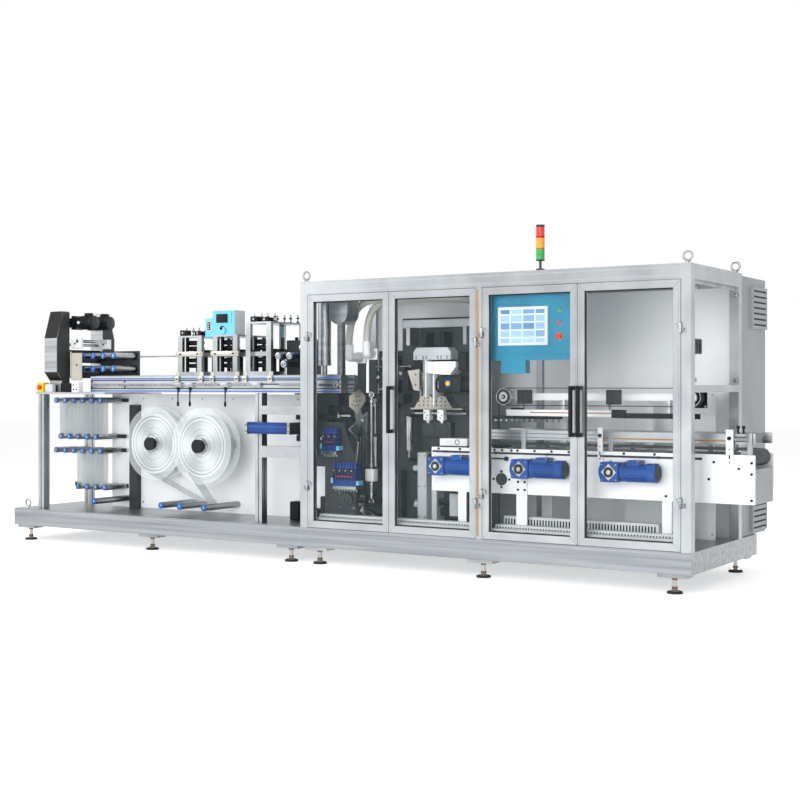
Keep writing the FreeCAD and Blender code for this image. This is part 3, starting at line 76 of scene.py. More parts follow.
def turned(axis, base, steps, sides=32):  # a lathe shape: steps are (distance, radius) from its base
    bpy.ops.mesh.primitive_circle_add(vertices=sides, radius=steps[0][1], fill_type='NGON')
    item = bpy.context.object
    bpy.ops.object.mode_set(mode='EDIT')
    at, radius = steps[0]
    for far, wide in steps[1:]:
        bpy.ops.mesh.extrude_region_move(TRANSFORM_OT_translate={"value": (0, 0, far - at)})
        share = wide / radius
        bpy.ops.transform.resize(value=(share, share, 1), center_override=(0, 0, far - steps[0][0]))
        at, radius = far, wide
    bpy.ops.mesh.select_all(action='SELECT')
    bpy.ops.mesh.normals_make_consistent(inside=False)
    bpy.ops.object.mode_set(mode='OBJECT')
    item.rotation_euler = turnTo[axis]
    item.location = base
    return settle(item)


def ring(axis, centre, radius, wire, sides=32, around=10):
    bpy.ops.mesh.primitive_torus_add(major_radius=radius, minor_radius=wire, major_segments=sides,
                                     minor_segments=around, location=centre, rotation=turnTo[axis])
    return settle(bpy.context.object)


def leaned(item, axis, degrees, centre):  # turned about a line through a point
    item.matrix_world = (Matrix.Translation(centre) @ Matrix.Rotation(math.radians(degrees), 4, axis)
                         @ Matrix.Translation(-Vector(centre)))
    return settle(item)


def merged(name, items):
    pick(*items)
    if len(items) > 1:
        bpy.ops.object.join()
    item = bpy.context.object
    item.name = name
    return item


def copies(item, places):  # one mesh for each place, joined by the caller
    made = []
    for place in places:
        twin = bpy.data.objects.new(item.name, item.data.copy())
        bpy.context.collection.objects.link(twin)
        twin.location = place
        made.append(settle(twin))
    bpy.data.objects.remove(item)
    return made


def row(item, count, step):  # the same shape again and again along a step
    array = item.modifiers.new("row", 'ARRAY')
    array.count = count
    array.use_relative_offset = False
    array.use_constant_offset = True
    array.constant_offset_displace = step
    pick(item)
    bpy.ops.object.modifier_apply(modifier=array.name)
    return item


def done(name, items, material, body="root", smooth=35):
    item = merged(name, items if isinstance(items, list) else [items])
    pick(item)
    bpy.ops.object.transform_apply(location=True, rotation=True, scale=True)
    if smooth:
        bpy.ops.object.shade_smooth_by_angle(angle=math.radians(smooth))
    item.data.materials.clear()
    item.data.materials.append(material)
    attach(item, body)
    return item


# material helpers

def hexToLinear(code):
    value = [int(code[i:i + 2], 16) / 255 for i in (1, 3, 5)]
    return [v / 12.92 if v <= 0.04045 else ((v + 0.055) / 1.055) ** 2.4 for v in value] + [1.0]


def addNode(tree, kind, settings=None, links=None):
    node = tree.nodes.new(kind)
    for key, value in (settings or {}).items():
        if isinstance(key, int) or key in node.inputs:
            node.inputs[key].default_value = value
        else:
            setattr(node, key, value)
    for key, source in (links or {}).items():
        tree.links.new(source, node.inputs[key])
    return node


def startMaterial(name):
    material = bpy.data.materials.new(name)
    material.use_nodes = True
    tree = material.node_tree
    tree.nodes.clear()
    out = addNode(tree, "ShaderNodeOutputMaterial")
    shader = addNode(tree, "ShaderNodeBsdfPrincipled")
    tree.links.new(shader.outputs[0], out.inputs[0])
    place = addNode(tree, "ShaderNodeTexCoord").outputs["Object"]
    return material, tree, shader, place


def speckle(tree, place, size, detail=3.0, stretch=(1, 1, 1)):  # noise with features size metres wide
    spot = addNode(tree, "ShaderNodeMapping", {"Scale": [1 / (size * s) for s in stretch]}, {0: place})
    return addNode(tree, "ShaderNodeTexNoise", {"Scale": 1.0, "Detail": detail},
                   {"Vector": spot.outputs[0]}).outputs["Fac"]


def between(tree, factor, low, high):
    return addNode(tree, "ShaderNodeMapRange", {"To Min": low, "To Max": high},
                   {"Value": factor}).outputs[0]


def shades(tree, factor, first, last, start=0.3, end=0.7):
    ramp = addNode(tree, "ShaderNodeValToRGB", None, {0: factor})
    ramp.color_ramp.elements[0].position = start
    ramp.color_ramp.elements[1].position = end
    ramp.color_ramp.elements[0].color = hexToLinear(first)
    ramp.color_ramp.elements[1].color = hexToLinear(last)
    return ramp.outputs[0]


def bumpFrom(tree, shader, height, distance, strength=1.0):
    bump = addNode(tree, "ShaderNodeBump", {"Strength": strength, "Distance": distance},
                   {"Height": height})
    tree.links.new(bump.outputs[0], shader.inputs["Normal"])
    return bump


# metals

def metalFinish(name, values):
    material, tree, shader, place = startMaterial(name)
    grain = speckle(tree, place, values["grain"], 4.0, values.get("stretch", (1, 1, 1)))
    cloud = speckle(tree, place, values.get("cloud", 0.22), 2.0, values.get("drawn", (1, 1, 1)))
    tree.links.new(shades(tree, cloud, values["dark"], values["light"]), shader.inputs["Base Color"])
    tree.links.new(between(tree, grain, values["smooth"], values["rough"]), shader.inputs["Roughness"])
    shader.inputs["Metallic"].default_value = values.get("metallic", 1.0)
    bumpFrom(tree, shader, grain, values["depth"])
    return material


# brushed stainless plate: cool grey, fine scratches drawn along the machine
brushedStainless = metalFinish("brushedStainless", {
    "grain": 0.0012, "stretch": (60, 1, 1), "dark": "#8a8e92", "light": "#a9adb1",
    "cloud": 0.03, "drawn": (40, 1, 1),
    "smooth": 0.24, "rough": 0.42, "depth": 0.00004})
# satin anodised aluminium extrusion: pale silver with a soft sheen
anodisedAluminium = metalFinish("anodisedAluminium", {
    "grain": 0.0015, "stretch": (1, 1, 40), "dark": "#abafb3", "light": "#bec2c5",
    "smooth": 0.28, "rough": 0.42, "depth": 0.00003})
anodisedBeam = metalFinish("anodisedBeam", {
    "grain": 0.0015, "stretch": (40, 1, 1), "dark": "#a8acb0", "light": "#bcc0c3",
    "smooth": 0.26, "rough": 0.42, "depth": 0.00003})
# polished chrome plate: bright with faint wipe marks
chromePlate = metalFinish("chromePlate", {
    "grain": 0.02, "dark": "#97999c", "light": "#bcbec1", "smooth": 0.08, "rough": 0.18,
    "depth": 0.00001})
# zinc plated screws and small steel
zincSteel = metalFinish("zincSteel", {
    "grain": 0.004, "dark": "#8a8e91", "light": "#b2b6b8", "smooth": 0.22, "rough": 0.38,
    "depth": 0.00002})
# black oxide steel: nearly black with an oily sheen
blackOxide = metalFinish("blackOxide", {
    "grain": 0.003, "dark": "#17181a", "light": "#26282b", "smooth": 0.32, "rough": 0.5,
    "depth": 0.00003, "metallic": 0.6})
# nickel plated blocks, warm grey
nickelPlate = metalFinish("nickelPlate", {
    "grain": 0.002, "dark": "#b7b2a7", "light": "#d3cfc5", "smooth": 0.2, "rough": 0.34,
    "depth": 0.00002})
# bronze bush at the foot of each levelling foot
bronzeRim = metalFinish("bronzeRim", {
    "grain": 0.003, "dark": "#6e5030", "light": "#8c6a42", "smooth": 0.3, "rough": 0.5,
    "depth": 0.00003})
print("metals made")


# paints and plastics

def coatFinish(name, values):  # an even colour with the skin of its coat or mould
    material, tree, shader, place = startMaterial(name)
    skin = speckle(tree, place, values.get("skin", 0.0016), 2.0)
    cloud = speckle(tree, place, values.get("cloud", 0.3), 2.0)
    tree.links.new(shades(tree, cloud, values["dark"], values["light"]), shader.inputs["Base Color"])
    tree.links.new(between(tree, skin, values["smooth"], values["rough"]), shader.inputs["Roughness"])
    shader.inputs["IOR"].default_value = values.get("ior", 1.5)
    shader.inputs["Specular IOR Level"].default_value = values.get("specular", 0.5)
    bumpFrom(tree, shader, skin, values.get("depth", 0.00006))
    return material


# powder coat: faint orange peel
whitePowder = coatFinish("whitePowder", {"dark": "#e6e9eb", "light": "#f0f2f3",
                                         "smooth": 0.34, "rough": 0.46})
greyPowder = coatFinish("greyPowder", {"dark": "#b9bec2", "light": "#c6cbce",
                                       "smooth": 0.36, "rough": 0.5})
cabinetGrey = coatFinish("cabinetGrey", {"dark": "#aab0b4", "light": "#b8bdc1",
                                         "smooth": 0.36, "rough": 0.5})
darkPowder = coatFinish("darkPowder", {"dark": "#2a2c2f", "light": "#383b3e",
                                       "smooth": 0.4, "rough": 0.55, "specular": 0.3})
# satin teal lacquer of the operator panel
tealLacquer = coatFinish("tealLacquer", {"dark": "#0d6e8c", "light": "#1580a0", "skin": 0.0012,
                                         "smooth": 0.28, "rough": 0.38})
# gloss enamel on the cast motors
blueEnamel = coatFinish("blueEnamel", {"dark": "#053b80", "light": "#0a4fa0", "skin": 0.004,
                                       "smooth": 0.2, "rough": 0.32, "depth": 0.0002,
                                       "specular": 0.35})
# pale blue lacquer of the controller boxes
lightBlueLacquer = coatFinish("lightBlueLacquer", {"dark": "#5cb2cf", "light": "#74c4dd",
                                                   "smooth": 0.3, "rough": 0.42})
# moulded black nylon with a fine spark texture
blackNylon = coatFinish("blackNylon", {"dark": "#0c0d0e", "light": "#151618", "skin": 0.0009,
                                       "smooth": 0.36, "rough": 0.52, "depth": 0.00008,
                                       "specular": 0.22})
blackRubber = coatFinish("blackRubber", {"dark": "#1b1c1e", "light": "#27282a", "skin": 0.002,
                                         "smooth": 0.6, "rough": 0.8, "depth": 0.0001})
greyPlastic = coatFinish("greyPlastic", {"dark": "#c3c7ca", "light": "#d0d4d6",
                                         "smooth": 0.35, "rough": 0.48})
# injection moulded caps and guide rollers
blueNylon = coatFinish("blueNylon", {"dark": "#0f57a4", "light": "#1a6cc0", "skin": 0.001,
                                     "smooth": 0.25, "rough": 0.38})
blueSleeve = coatFinish("blueSleeve", {"dark": "#042a66", "light": "#083f8c", "skin": 0.003,
                                       "smooth": 0.22, "rough": 0.34, "specular": 0.4})
yellowPlastic = coatFinish("yellowPlastic", {"dark": "#d9b312", "light": "#ecc81f",
                                             "smooth": 0.3, "rough": 0.45})
redPlastic = coatFinish("redPlastic", {"dark": "#c01a14", "light": "#d8261e",
                                       "smooth": 0.25, "rough": 0.4})
greenPlastic = coatFinish("greenPlastic", {"dark": "#0f9a3c", "light": "#18b04a",
                                           "smooth": 0.25, "rough": 0.4})
brownSlide = coatFinish("brownSlide", {"dark": "#9a6a2a", "light": "#b07c36",
                                       "smooth": 0.4, "rough": 0.55})
greenBelt = coatFinish("greenBelt", {"dark": "#2b3236", "light": "#363e42", "skin": 0.0025,
                                     "smooth": 0.5, "rough": 0.7, "depth": 0.0002})
hoseGrey = coatFinish("hoseGrey", {"dark": "#b4b3aa", "light": "#c9c8c0", "skin": 0.004,
                                   "smooth": 0.4, "rough": 0.6, "depth": 0.0003})
print("coats made")


# clear sheets and film

def clearFinish(name, values):  # a thin clear sheet, seen as a tint and a shine
    material, tree, shader, place = startMaterial(name)
    ripple = speckle(tree, place, 0.35, 1.0)
    tree.links.new(shades(tree, ripple, values["dark"], values["light"]), shader.inputs["Base Color"])
    shader.inputs["Roughness"].default_value = values["rough"]
    shader.inputs["Alpha"].default_value = values["alpha"]
    shader.inputs["IOR"].default_value = values.get("ior", 1.58)
    bumpFrom(tree, shader, ripple, 0.0008, 0.3)
    return material


# clear polycarbonate door sheets, faintly blue and glossy
clearPolycarbonate = clearFinish("clearPolycarbonate", {"dark": "#8fa3ac", "light": "#a5b6bd",
                                                        "rough": 0.05, "alpha": 0.025})
# cast acrylic reel discs, brighter at grazing light
clearAcrylic = clearFinish("clearAcrylic", {"dark": "#e6ecee", "light": "#f4f8f9",
                                            "rough": 0.08, "alpha": 0.22, "ior": 1.49})
frostedFilm = clearFinish("frostedFilm", {"dark": "#d5dcdf", "light": "#eef2f3", "rough": 0.2,
                                          "alpha": 0.5, "ior": 1.5})


def woundFilm(name, axle):  # clear film wound on its core: rings of layers, silvery, with bright and dim sectors of painted reflection
    material, tree, shader, place = startMaterial(name)
    spot = addNode(tree, "ShaderNodeMapping", {"Location": [-axle[0], 0, -axle[1]]}, {0: place})
    parts = addNode(tree, "ShaderNodeSeparateXYZ", None, {0: spot.outputs[0]})
    flat = addNode(tree, "ShaderNodeCombineXYZ", None, {0: parts.outputs[0], 2: parts.outputs[2]})
    far = addNode(tree, "ShaderNodeVectorMath", {"operation": "LENGTH"}, {0: flat.outputs[0]})
    stretch = addNode(tree, "ShaderNodeMath", {"operation": "MULTIPLY", 1: 70.0},
                      {0: far.outputs["Value"]})
    layers = addNode(tree, "ShaderNodeTexNoise", {"noise_dimensions": "1D", "Scale": 1.0,
                                                  "Detail": 5.0}, {"W": stretch.outputs[0]})
    rings = layers.outputs["Fac"]
    angle = addNode(tree, "ShaderNodeMath", {"operation": "ARCTAN2"},
                    {0: parts.outputs[0], 1: parts.outputs[2]})
    turns = addNode(tree, "ShaderNodeMath", {"operation": "MULTIPLY", 1: 3.0}, {0: angle.outputs[0]})
    sectors = addNode(tree, "ShaderNodeMath", {"operation": "SINE"}, {0: turns.outputs[0]})
    sheen = addNode(tree, "ShaderNodeMath", {"operation": "MULTIPLY_ADD", 1: 0.14},
                    {0: sectors.outputs[0], 2: rings})  # painted reflection: bright and dim sectors around the axle, laid over the rings of the layers
    tree.links.new(shades(tree, sheen.outputs[0], "#6f777c", "#e3e8ea", 0.28, 0.66),
                   shader.inputs["Base Color"])
    tree.links.new(between(tree, rings, 0.18, 0.4), shader.inputs["Roughness"])
    shader.inputs["Metallic"].default_value = 0.35
    shader.inputs["Coat Weight"].default_value = 0.5
    bumpFrom(tree, shader, rings, 0.0012)
    return material


axle1 = (-1.798, 0.759)
axle2 = (-1.198, 0.759)
filmRoll1 = woundFilm("filmRoll1", axle1)
filmRoll2 = woundFilm("filmRoll2", axle2)


def lampGlass():  # three lens colours, one above the other, over a black foot
    material, tree, shader, place = startMaterial("lampGlass")
    parts = addNode(tree, "ShaderNodeSeparateXYZ", None, {0: place})
    height = addNode(tree, "ShaderNodeMapRange", {"From Min": 1.9, "From Max": 2.176},
                     {"Value": parts.outputs[2]})
    ramp = addNode(tree, "ShaderNodeValToRGB", None, {0: height.outputs[0]})
    ramp.color_ramp.interpolation = "CONSTANT"
    stops = [(0.0, "#1a1b1d"), (0.23, "#1c9a3f"), (0.46, "#e8960c"), (0.7, "#d42015"),
             (0.94, "#1a1b1d")]
    while len(ramp.color_ramp.elements) < len(stops):
        ramp.color_ramp.elements.new(0.5)
    for element, (spot, code) in zip(ramp.color_ramp.elements, stops):
        element.position = spot
        element.color = hexToLinear(code)
    tree.links.new(ramp.outputs[0], shader.inputs["Base Color"])
    ribs = addNode(tree, "ShaderNodeTexWave", {"bands_direction": "Z", "Scale": 60.0}, {0: place})
    bumpFrom(tree, shader, ribs.outputs["Fac"], 0.0006)
    shader.inputs["Roughness"].default_value = 0.22
    shader.inputs["Coat Weight"].default_value = 0.6
    return material


def screenFace():  # a lit touch screen with plain fields of colour
    material, tree, shader, place = startMaterial("screenFace")
    spot = addNode(tree, "ShaderNodeMapping", {"Location": [-1.321, 0, -1.447]}, {0: place})
    parts = addNode(tree, "ShaderNodeSeparateXYZ", None, {0: spot.outputs[0]})
    flat = addNode(tree, "ShaderNodeCombineXYZ", None, {0: parts.outputs[0], 1: parts.outputs[2]})
    tiles = addNode(tree, "ShaderNodeTexBrick", {
        "Scale": 1.0, "Brick Width": 0.085, "Row Height": 0.0476, "Mortar Size": 0.004,
        "Mortar Smooth": 0.0, "offset": 0.0, "Color1": hexToLinear("#9cbfd8"),
        "Color2": hexToLinear("#41719f"), "Mortar": hexToLinear("#c9d6df")}, {0: flat.outputs[0]})
    tree.links.new(tiles.outputs[0], shader.inputs["Base Color"])
    tree.links.new(tiles.outputs[0], shader.inputs["Emission Color"])
    shader.inputs["Emission Strength"].default_value = 0.15
    shader.inputs["Roughness"].default_value = 0.12
    return material


lampStack = lampGlass()
touchScreen = screenFace()
print("clear finishes made")

# the finish of each CAD node

finishes = {
    "base_long_rails": brushedStainless, "base_deck": brushedStainless,
    "feet": chromePlate, "lifting_eyes": chromePlate, "guard_posts": anodisedAluminium,
    "guard_long_beams": anodisedBeam, "guard_cross_beams": anodisedBeam,
    "guard_panels": whitePowder, "hinge_leaves": zincSteel, "end_panel_glass": clearPolycarbonate,
    "end_panel_fittings": zincSteel, "electrical_cabinet": cabinetGrey,
    "control_panel": tealLacquer, "screen": touchScreen, "signal_tower": lampStack,
    "slotted_frame": anodisedBeam, "table_cross_beams": anodisedBeam,
    "left_back_panel": whitePowder, "bank_rollers": zincSteel, "idler_rollers": blueNylon,
    "roller_carriers": darkPowder, "table_fittings": blackNylon, "dark_panels": darkPowder,
    "head_housings": brushedStainless, "head_gear": blackOxide, "forming_stations": zincSteel,
    "control_boxes": lightBlueLacquer, "blue_roller": blueSleeve, "reel_shafts": blackOxide,
    "reel_1_spool": clearAcrylic, "reel_2_spool": clearAcrylic, "reel_1_film": filmRoll1,
    "reel_2_film": filmRoll2, "film_web": frostedFilm, "conveyor_frame": whitePowder,
    "conveyor_belt": greenBelt, "guide_rails": anodisedBeam, "geared_motors": blueEnamel,
    "cable_ducts": greyPlastic, "overhead_belt": blackRubber, "overhead_frame": whitePowder,
    "tank": brushedStainless, "push_rods": chromePlate, "valve_blocks": blueEnamel,
    "folding_head": whitePowder, "vent_hose_1": hoseGrey, "vent_hose_2": hoseGrey,
    "clipped_cable": blackRubber, "link_arms": zincSteel,
}
for number in (1, 2, 3, 4):
    finishes["door_%d_frame" % number] = anodisedAluminium
    finishes["door_%d_glass" % number] = clearPolycarbonate
    finishes["door_%d_handle" % number] = blackNylon
for nodeName, item in cadNodes.items():
    item.data.materials.clear()
    item.data.materials.append(finishes[nodeName])
print("nodes finished")

# camera, floor and light

camera = {"place": (5.3338, -8.1694, 1.1933), "turn": 32.13, "lens": 61.607, "shiftY": -0.0168}
bpy.ops.object.camera_add(location=camera["place"],
                          rotation=(math.radians(90), 0, math.radians(camera["turn"])))
bpy.context.scene.camera = bpy.context.object
bpy.context.object.data.lens = camera["lens"]
bpy.context.object.data.sensor_width = 36
bpy.context.object.data.shift_y = camera["shiftY"]


def paleGround(name, code):  # white where the camera or a reflection sees it, with shadows kept
    material, tree, shader, place = startMaterial(name)
    shader.inputs["Base Color"].default_value = hexToLinear(code)
    shader.inputs["Roughness"].default_value = 0.85
    rays = addNode(tree, "ShaderNodeLightPath")
    seen = addNode(tree, "ShaderNodeMath", {"operation": "MAXIMUM"},
                   {0: rays.outputs["Is Camera Ray"], 1: rays.outputs["Is Glossy Ray"]})
    seen = addNode(tree, "ShaderNodeMath", {"operation": "MAXIMUM"},
                   {0: seen.outputs[0], 1: rays.outputs["Is Transmission Ray"]})
    lift = addNode(tree, "ShaderNodeMapRange", {"To Min": 0.0, "To Max": 0.5}, {"Value": seen.outputs[0]})
    shader.inputs["Emission Color"].default_value = hexToLinear(code)
    tree.links.new(lift.outputs[0], shader.inputs["Emission Strength"])
    return material


bpy.ops.mesh.primitive_plane_add(size=60, location=(0, 0, -0.001))
floor = bpy.context.object
floor.name = "floor"
floor.data.materials.append(paleGround("studioFloor", "#fbfbfb"))

world = bpy.data.worlds.new("studio")
bpy.context.scene.world = world
world.use_nodes = True
sky = world.node_tree
sky.nodes.clear()
rays = addNode(sky, "ShaderNodeLightPath")
seen = addNode(sky, "ShaderNodeMath", {"operation": "MAXIMUM"},
               {0: rays.outputs["Is Camera Ray"], 1: rays.outputs["Is Glossy Ray"]})
seen = addNode(sky, "ShaderNodeMath", {"operation": "MAXIMUM"},
               {0: seen.outputs[0], 1: rays.outputs["Is Transmission Ray"]})
level = addNode(sky, "ShaderNodeMapRange", {"To Min": 0.45, "To Max": 1.0}, {"Value": seen.outputs[0]})
light = addNode(sky, "ShaderNodeBackground", {"Color": (1, 1, 1, 1)}, {"Strength": level.outputs[0]})
addNode(sky, "ShaderNodeOutputWorld", None, {0: light.outputs[0]})

lamps = {"key": ((3.5, -6.5, 3.4), 5.0, 130), "fill": ((-5.5, -5.0, 3.5), 4.0, 100),
         "front": ((0.9, -8.0, 1.9), 5.0, 440), "top": ((0.0, 0.5, 6.5), 5.0, 130),
         "back": ((-1.0, 7.0, 3.0), 5.0, 120)}
for lampName, (spot, size, power) in lamps.items():
    bpy.ops.object.light_add(type='AREA', location=spot)
    lamp = bpy.context.object
    lamp.name = lampName
    lamp.data.size = size
    lamp.data.energy = power
    lamp.visible_glossy = lampName != "front"  # no glare of it on the door frames
    lamp.rotation_euler = (Vector((0, 0, 0.8)) - Vector(spot)).to_track_quat("-Z", "Y").to_euler()
bpy.context.scene.view_settings.view_transform = "Standard"
print("stage set")

# the two free hoses from the folding gear to the back wall

hoses = {
    "vent_hose_1": {"length": 1.474, "route": [
        (0.004, -0.345, 1.481), (0.004, -0.345, 1.590), (0.080, -0.345, 1.765),
        (0.290, -0.345, 1.797), (0.600, -0.345, 1.795), (0.840, -0.260, 1.786),
        (0.882, 0.0, 1.783), (0.882, 0.175, 1.783)]},
    "vent_hose_2": {"length": 1.185, "route": [
        (0.100, -0.268, 1.505), (0.100, -0.268, 1.672), (0.225, -0.268, 1.787),
        (0.530, -0.268, 1.790), (0.735, -0.170, 1.786), (0.764, 0.005, 1.783),
        (0.764, 0.175, 1.783)]},
}
hoseDiameter = 0.050


def hoseCurve(name, route, depth):
    curve = bpy.data.curves.new(name, "CURVE")
    curve.dimensions = "3D"
    line = curve.splines.new("NURBS")
    line.points.add(len(route) - 1)
    for point, spot in zip(line.points, route):
        point.co = (*spot, 1.0)
    line.order_u = 3
    line.use_endpoint_u = True
    curve.resolution_u = 12
    curve.bevel_depth = depth
    curve.bevel_resolution = 4
    item = bpy.data.objects.new(name, curve)
    bpy.context.collection.objects.link(item)
    return item


for hoseName, hose in hoses.items():
    tube = hoseCurve(hoseName + "_rubber", hose["route"], hoseDiameter / 2)
    tube.data.materials.append(hoseGrey)
    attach(tube, "root")
    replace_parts(tube, hoseName)
print("hoses made")

# the guard: eyes, feet, doors

eyes = {"ring": 0.0265, "wire": 0.0072, "collar": 0.019, "low": [
    (-0.125, -0.665, 1.900), (-0.125, 0.175, 1.900), (2.565, -0.665, 1.900), (2.565, 0.175, 1.900),
    (-2.805, -0.665, 0.245), (-2.805, 0.475, 0.245)]}
made = []
for x, y, z in eyes["low"]:
    made.append(ring("Y", (x, y, z + 0.0425), eyes["ring"], eyes["wire"], 36, 14))
    made.append(turned("Z", (x, y, z), [(0, eyes["collar"]), (0.004, eyes["collar"]), (0.008, 0.015),
                                        (0.016, 0.011), (0.021, 0.0085)], 24))
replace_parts(done("lifting_eye_bolts", made, chromePlate, smooth=60), "lifting_eyes")

foot = {"x": (-2.805, -1.540, -0.275, -0.035, 1.220, 2.475), "y": (-0.635, 0.445), "pad": 0.046}
pads, stems, nuts, plates = [], [], [], []
for x in foot["x"]:
    for y in foot["y"]:
        pads.append(turned("Z", (x, y, 0), [(0, foot["pad"]), (0.008, foot["pad"]), (0.012, 0.044),
                                            (0.016, 0.030)], 36))
        stems.append(turned("Z", (x, y, 0.014), [(0, 0.029), (0.004, 0.029), (0.008, 0.0125),
                                                 (0.079, 0.0125)], 28))
        nuts.append(turned("Z", (x, y, 0.024), [(0, 0.016), (0.002, 0.018), (0.014, 0.018),
                                                (0.016, 0.016)], 6))
        nuts.append(turned("Z", (x, y, 0.078), [(0, 0.016), (0.002, 0.018), (0.013, 0.018),
                                                (0.015, 0.016)], 6))
        plates.append(block((x - 0.090, y - 0.050, 0.093), (x + 0.090, y + 0.050, 0.115), 0.003, 2))
footPads = done("foot_pads", pads, blackRubber)
footStems = done("foot_stems", stems, chromePlate)
footNuts = done("foot_nuts", nuts, bronzeRim, smooth=20)
footPlates = done("foot_plates", plates, zincSteel, smooth=20)
for piece in (footPads, footStems, footNuts, footPlates):
    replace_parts(piece, "feet")

# door edges: a black gasket round each sheet, mitre lines, pull handles, hinge screws
door = {"left": [-0.092, 0.554, 1.243, 1.889], "width": 0.643, "low": 0.248, "high": 1.807,
        "stile": 0.045}
for number in range(4):
    left, right = door["left"][number], door["left"][number] + door["width"]
    inL, inR = left + door["stile"], right - door["stile"]
    inLow, inHigh = door["low"] + door["stile"], door["high"] - door["stile"]
    y0, y1 = -0.6795, -0.6765
    strip = 0.007
    seal = [block((inL, y0, inLow), (inR, y1, inLow + strip), 0.001),
            block((inL, y0, inHigh - strip), (inR, y1, inHigh), 0.001),
            block((inL, y0, inLow), (inL + strip, y1, inHigh), 0.001),
            block((inR - strip, y0, inLow), (inR, y1, inHigh), 0.001)]
    body = "door_%d" % (number + 1)
    done(body + "_gasket", seal, blackRubber, body)
    mitres = []
    for cx, cz, turn in ((inL, inLow, 45), (inR, inLow, -45), (inL, inHigh, -45), (inR, inHigh, 45)):
        dx = -0.0225 if cx == inL else 0.0225
        dz = -0.0225 if cz == inLow else 0.0225
        line = block((cx + dx - 0.031, -0.6952, cz + dz - 0.0006),
                     (cx + dx + 0.031, -0.6946, cz + dz + 0.0006), 0.0002)
        mitres.append(leaned(line, "Y", -turn, (cx + dx, -0.695, cz + dz)))
    done(body + "_mitres", mitres, darkPowder, body, smooth=0)
    groove = []
    for x in (left + 0.012, right - 0.012):
        groove.append(block((x - 0.0015, -0.6953, inLow - 0.03), (x + 0.0015, -0.6947, inHigh + 0.03),
                            0.0003))
    done(body + "_edge_lines", groove, zincSteel, body, smooth=0)
    hungLeft = number in (0, 2)
    if number:
        edge = right - 0.0225 if hungLeft else left + 0.0225
        bar = [turned("Z", (edge, -0.740, 0.892), [(0, 0.010), (0.004, 0.013), (0.301, 0.013),
                                                  (0.305, 0.010)], 32)]
        for z in (0.892, 1.173):
            bar.append(block((edge - 0.0105, -0.740, z), (edge + 0.0105, -0.695, z + 0.024), 0.003, 2))
        for z in (0.904, 1.185):
            bar.append(turned("-Y", (edge, -0.7515, z), [(0, 0.005), (0.0012, 0.0045)], 16))
        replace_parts(done(body + "_pull", bar, blackNylon, body, smooth=50), body + "_handle")
    pinX = left - 0.0015 if hungLeft else right + 0.0015
    side = 1 if hungLeft else -1
    drop = 0.060 if number == 1 else 0
    onDoor, onPost = [], []
    for low in (0.498 - drop, 1.501 - drop):
        for z0, group, way in ((low + 0.0283, onDoor, side), (low, onPost, -side)):
            for dx, dz in ((0.0135, 0.007), (0.0215, 0.0205)):
                group.append(turned("-Y", (pinX + way * dx, -0.705, z0 + dz),
                                    [(0, 0.0038), (0.0012, 0.0036), (0.0018, 0.0022)], 12))
        onPost.append(turned("-Z", (pinX, -0.705, low), [(0, 0.0065), (0.003, 0.005), (0.004, 0.002)], 16))
        onDoor.append(turned("Z", (pinX, -0.705, low + 0.056), [(0, 0.0065), (0.003, 0.005),
                                                               (0.004, 0.002)], 16))
    done(body + "_hinge_screws", onDoor, blackOxide, body)
    done(body + "_post_screws", onPost, blackOxide)
print("doors dressed")

# guard posts and beams: end caps, grooves, and the join lines of the welded frame
guard = {"left": -0.155, "right": 2.595}
lines = []
for x in (guard["left"] + 0.060, guard["right"] - 0.060):
    lines.append(block((x - 0.0008, -0.6953, 1.810), (x + 0.0008, -0.6948, 1.900), 0.0002))
for z in (1.832, 1.878):
    lines.append(block((-0.095, -0.6954, z - 0.001), (2.535, -0.6946, z + 0.001), 0.0003))
for x in (2.553, 2.577):
    lines.append(block((x - 0.001, -0.6954, 0.245), (x + 0.001, -0.6946, 1.810), 0.0003))
for y in (-0.677, -0.653):
    lines.append(block((2.5946, y - 0.001, 0.245), (2.5954, y + 0.001, 1.810), 0.0003))
for z in (1.832, 1.878):
    lines.append(block((2.5946, -0.635, z - 0.001), (2.5954, 0.145, z + 0.001), 0.0003))
done("guard_edge_lines", lines, greyPowder, smooth=0)
caps = []
for x in (-0.125, 2.565):
    for y in (-0.665, 0.175):
        caps.append(block((x - 0.0285, y - 0.0285, 1.8990), (x + 0.0285, y + 0.0285, 1.9012), 0.001))
done("post_caps", caps, greyPlastic, smooth=0)
seams = []
for x in (-2.925, -0.1555):
    seams.append(block((x, -0.6955, 0.116), (x + 0.0012, -0.6945, 0.244), 0.0003))
for x0, x1 in ((-2.925, -0.155), (-0.155, 2.595)):
    seams.append(block((x0 + 0.002, -0.6953, 0.2285), (x1 - 0.002, -0.6946, 0.2300), 0.0003))
done("base_seams", seams, greyPowder, smooth=0)

# end panel: knobs and the switch pair
knobs = []
for y in (-0.605, 0.115):
    for z in (1.232, 1.758):
        knobs.append(turned("X", (2.571, y, z), [(0, 0.006), (0.008, 0.006), (0.010, 0.0125),
                                                (0.020, 0.0125), (0.023, 0.010)], 24))
done("end_panel_knobs", knobs, chromePlate)
switches = []
for y in (-0.595, -0.547):
    switches.append(block((2.5905, y + 0.003, 1.384), (2.5945, y + 0.033, 1.466), 0.002, 2))
    switches.append(turned("X", (2.589, y + 0.018, 1.425), [(0, 0.011), (0.0045, 0.011),
                                                           (0.0055, 0.009)], 20))
done("end_switch_covers", switches, darkPowder)
print("guard dressed")

# cabinet, operator panel and signal tower

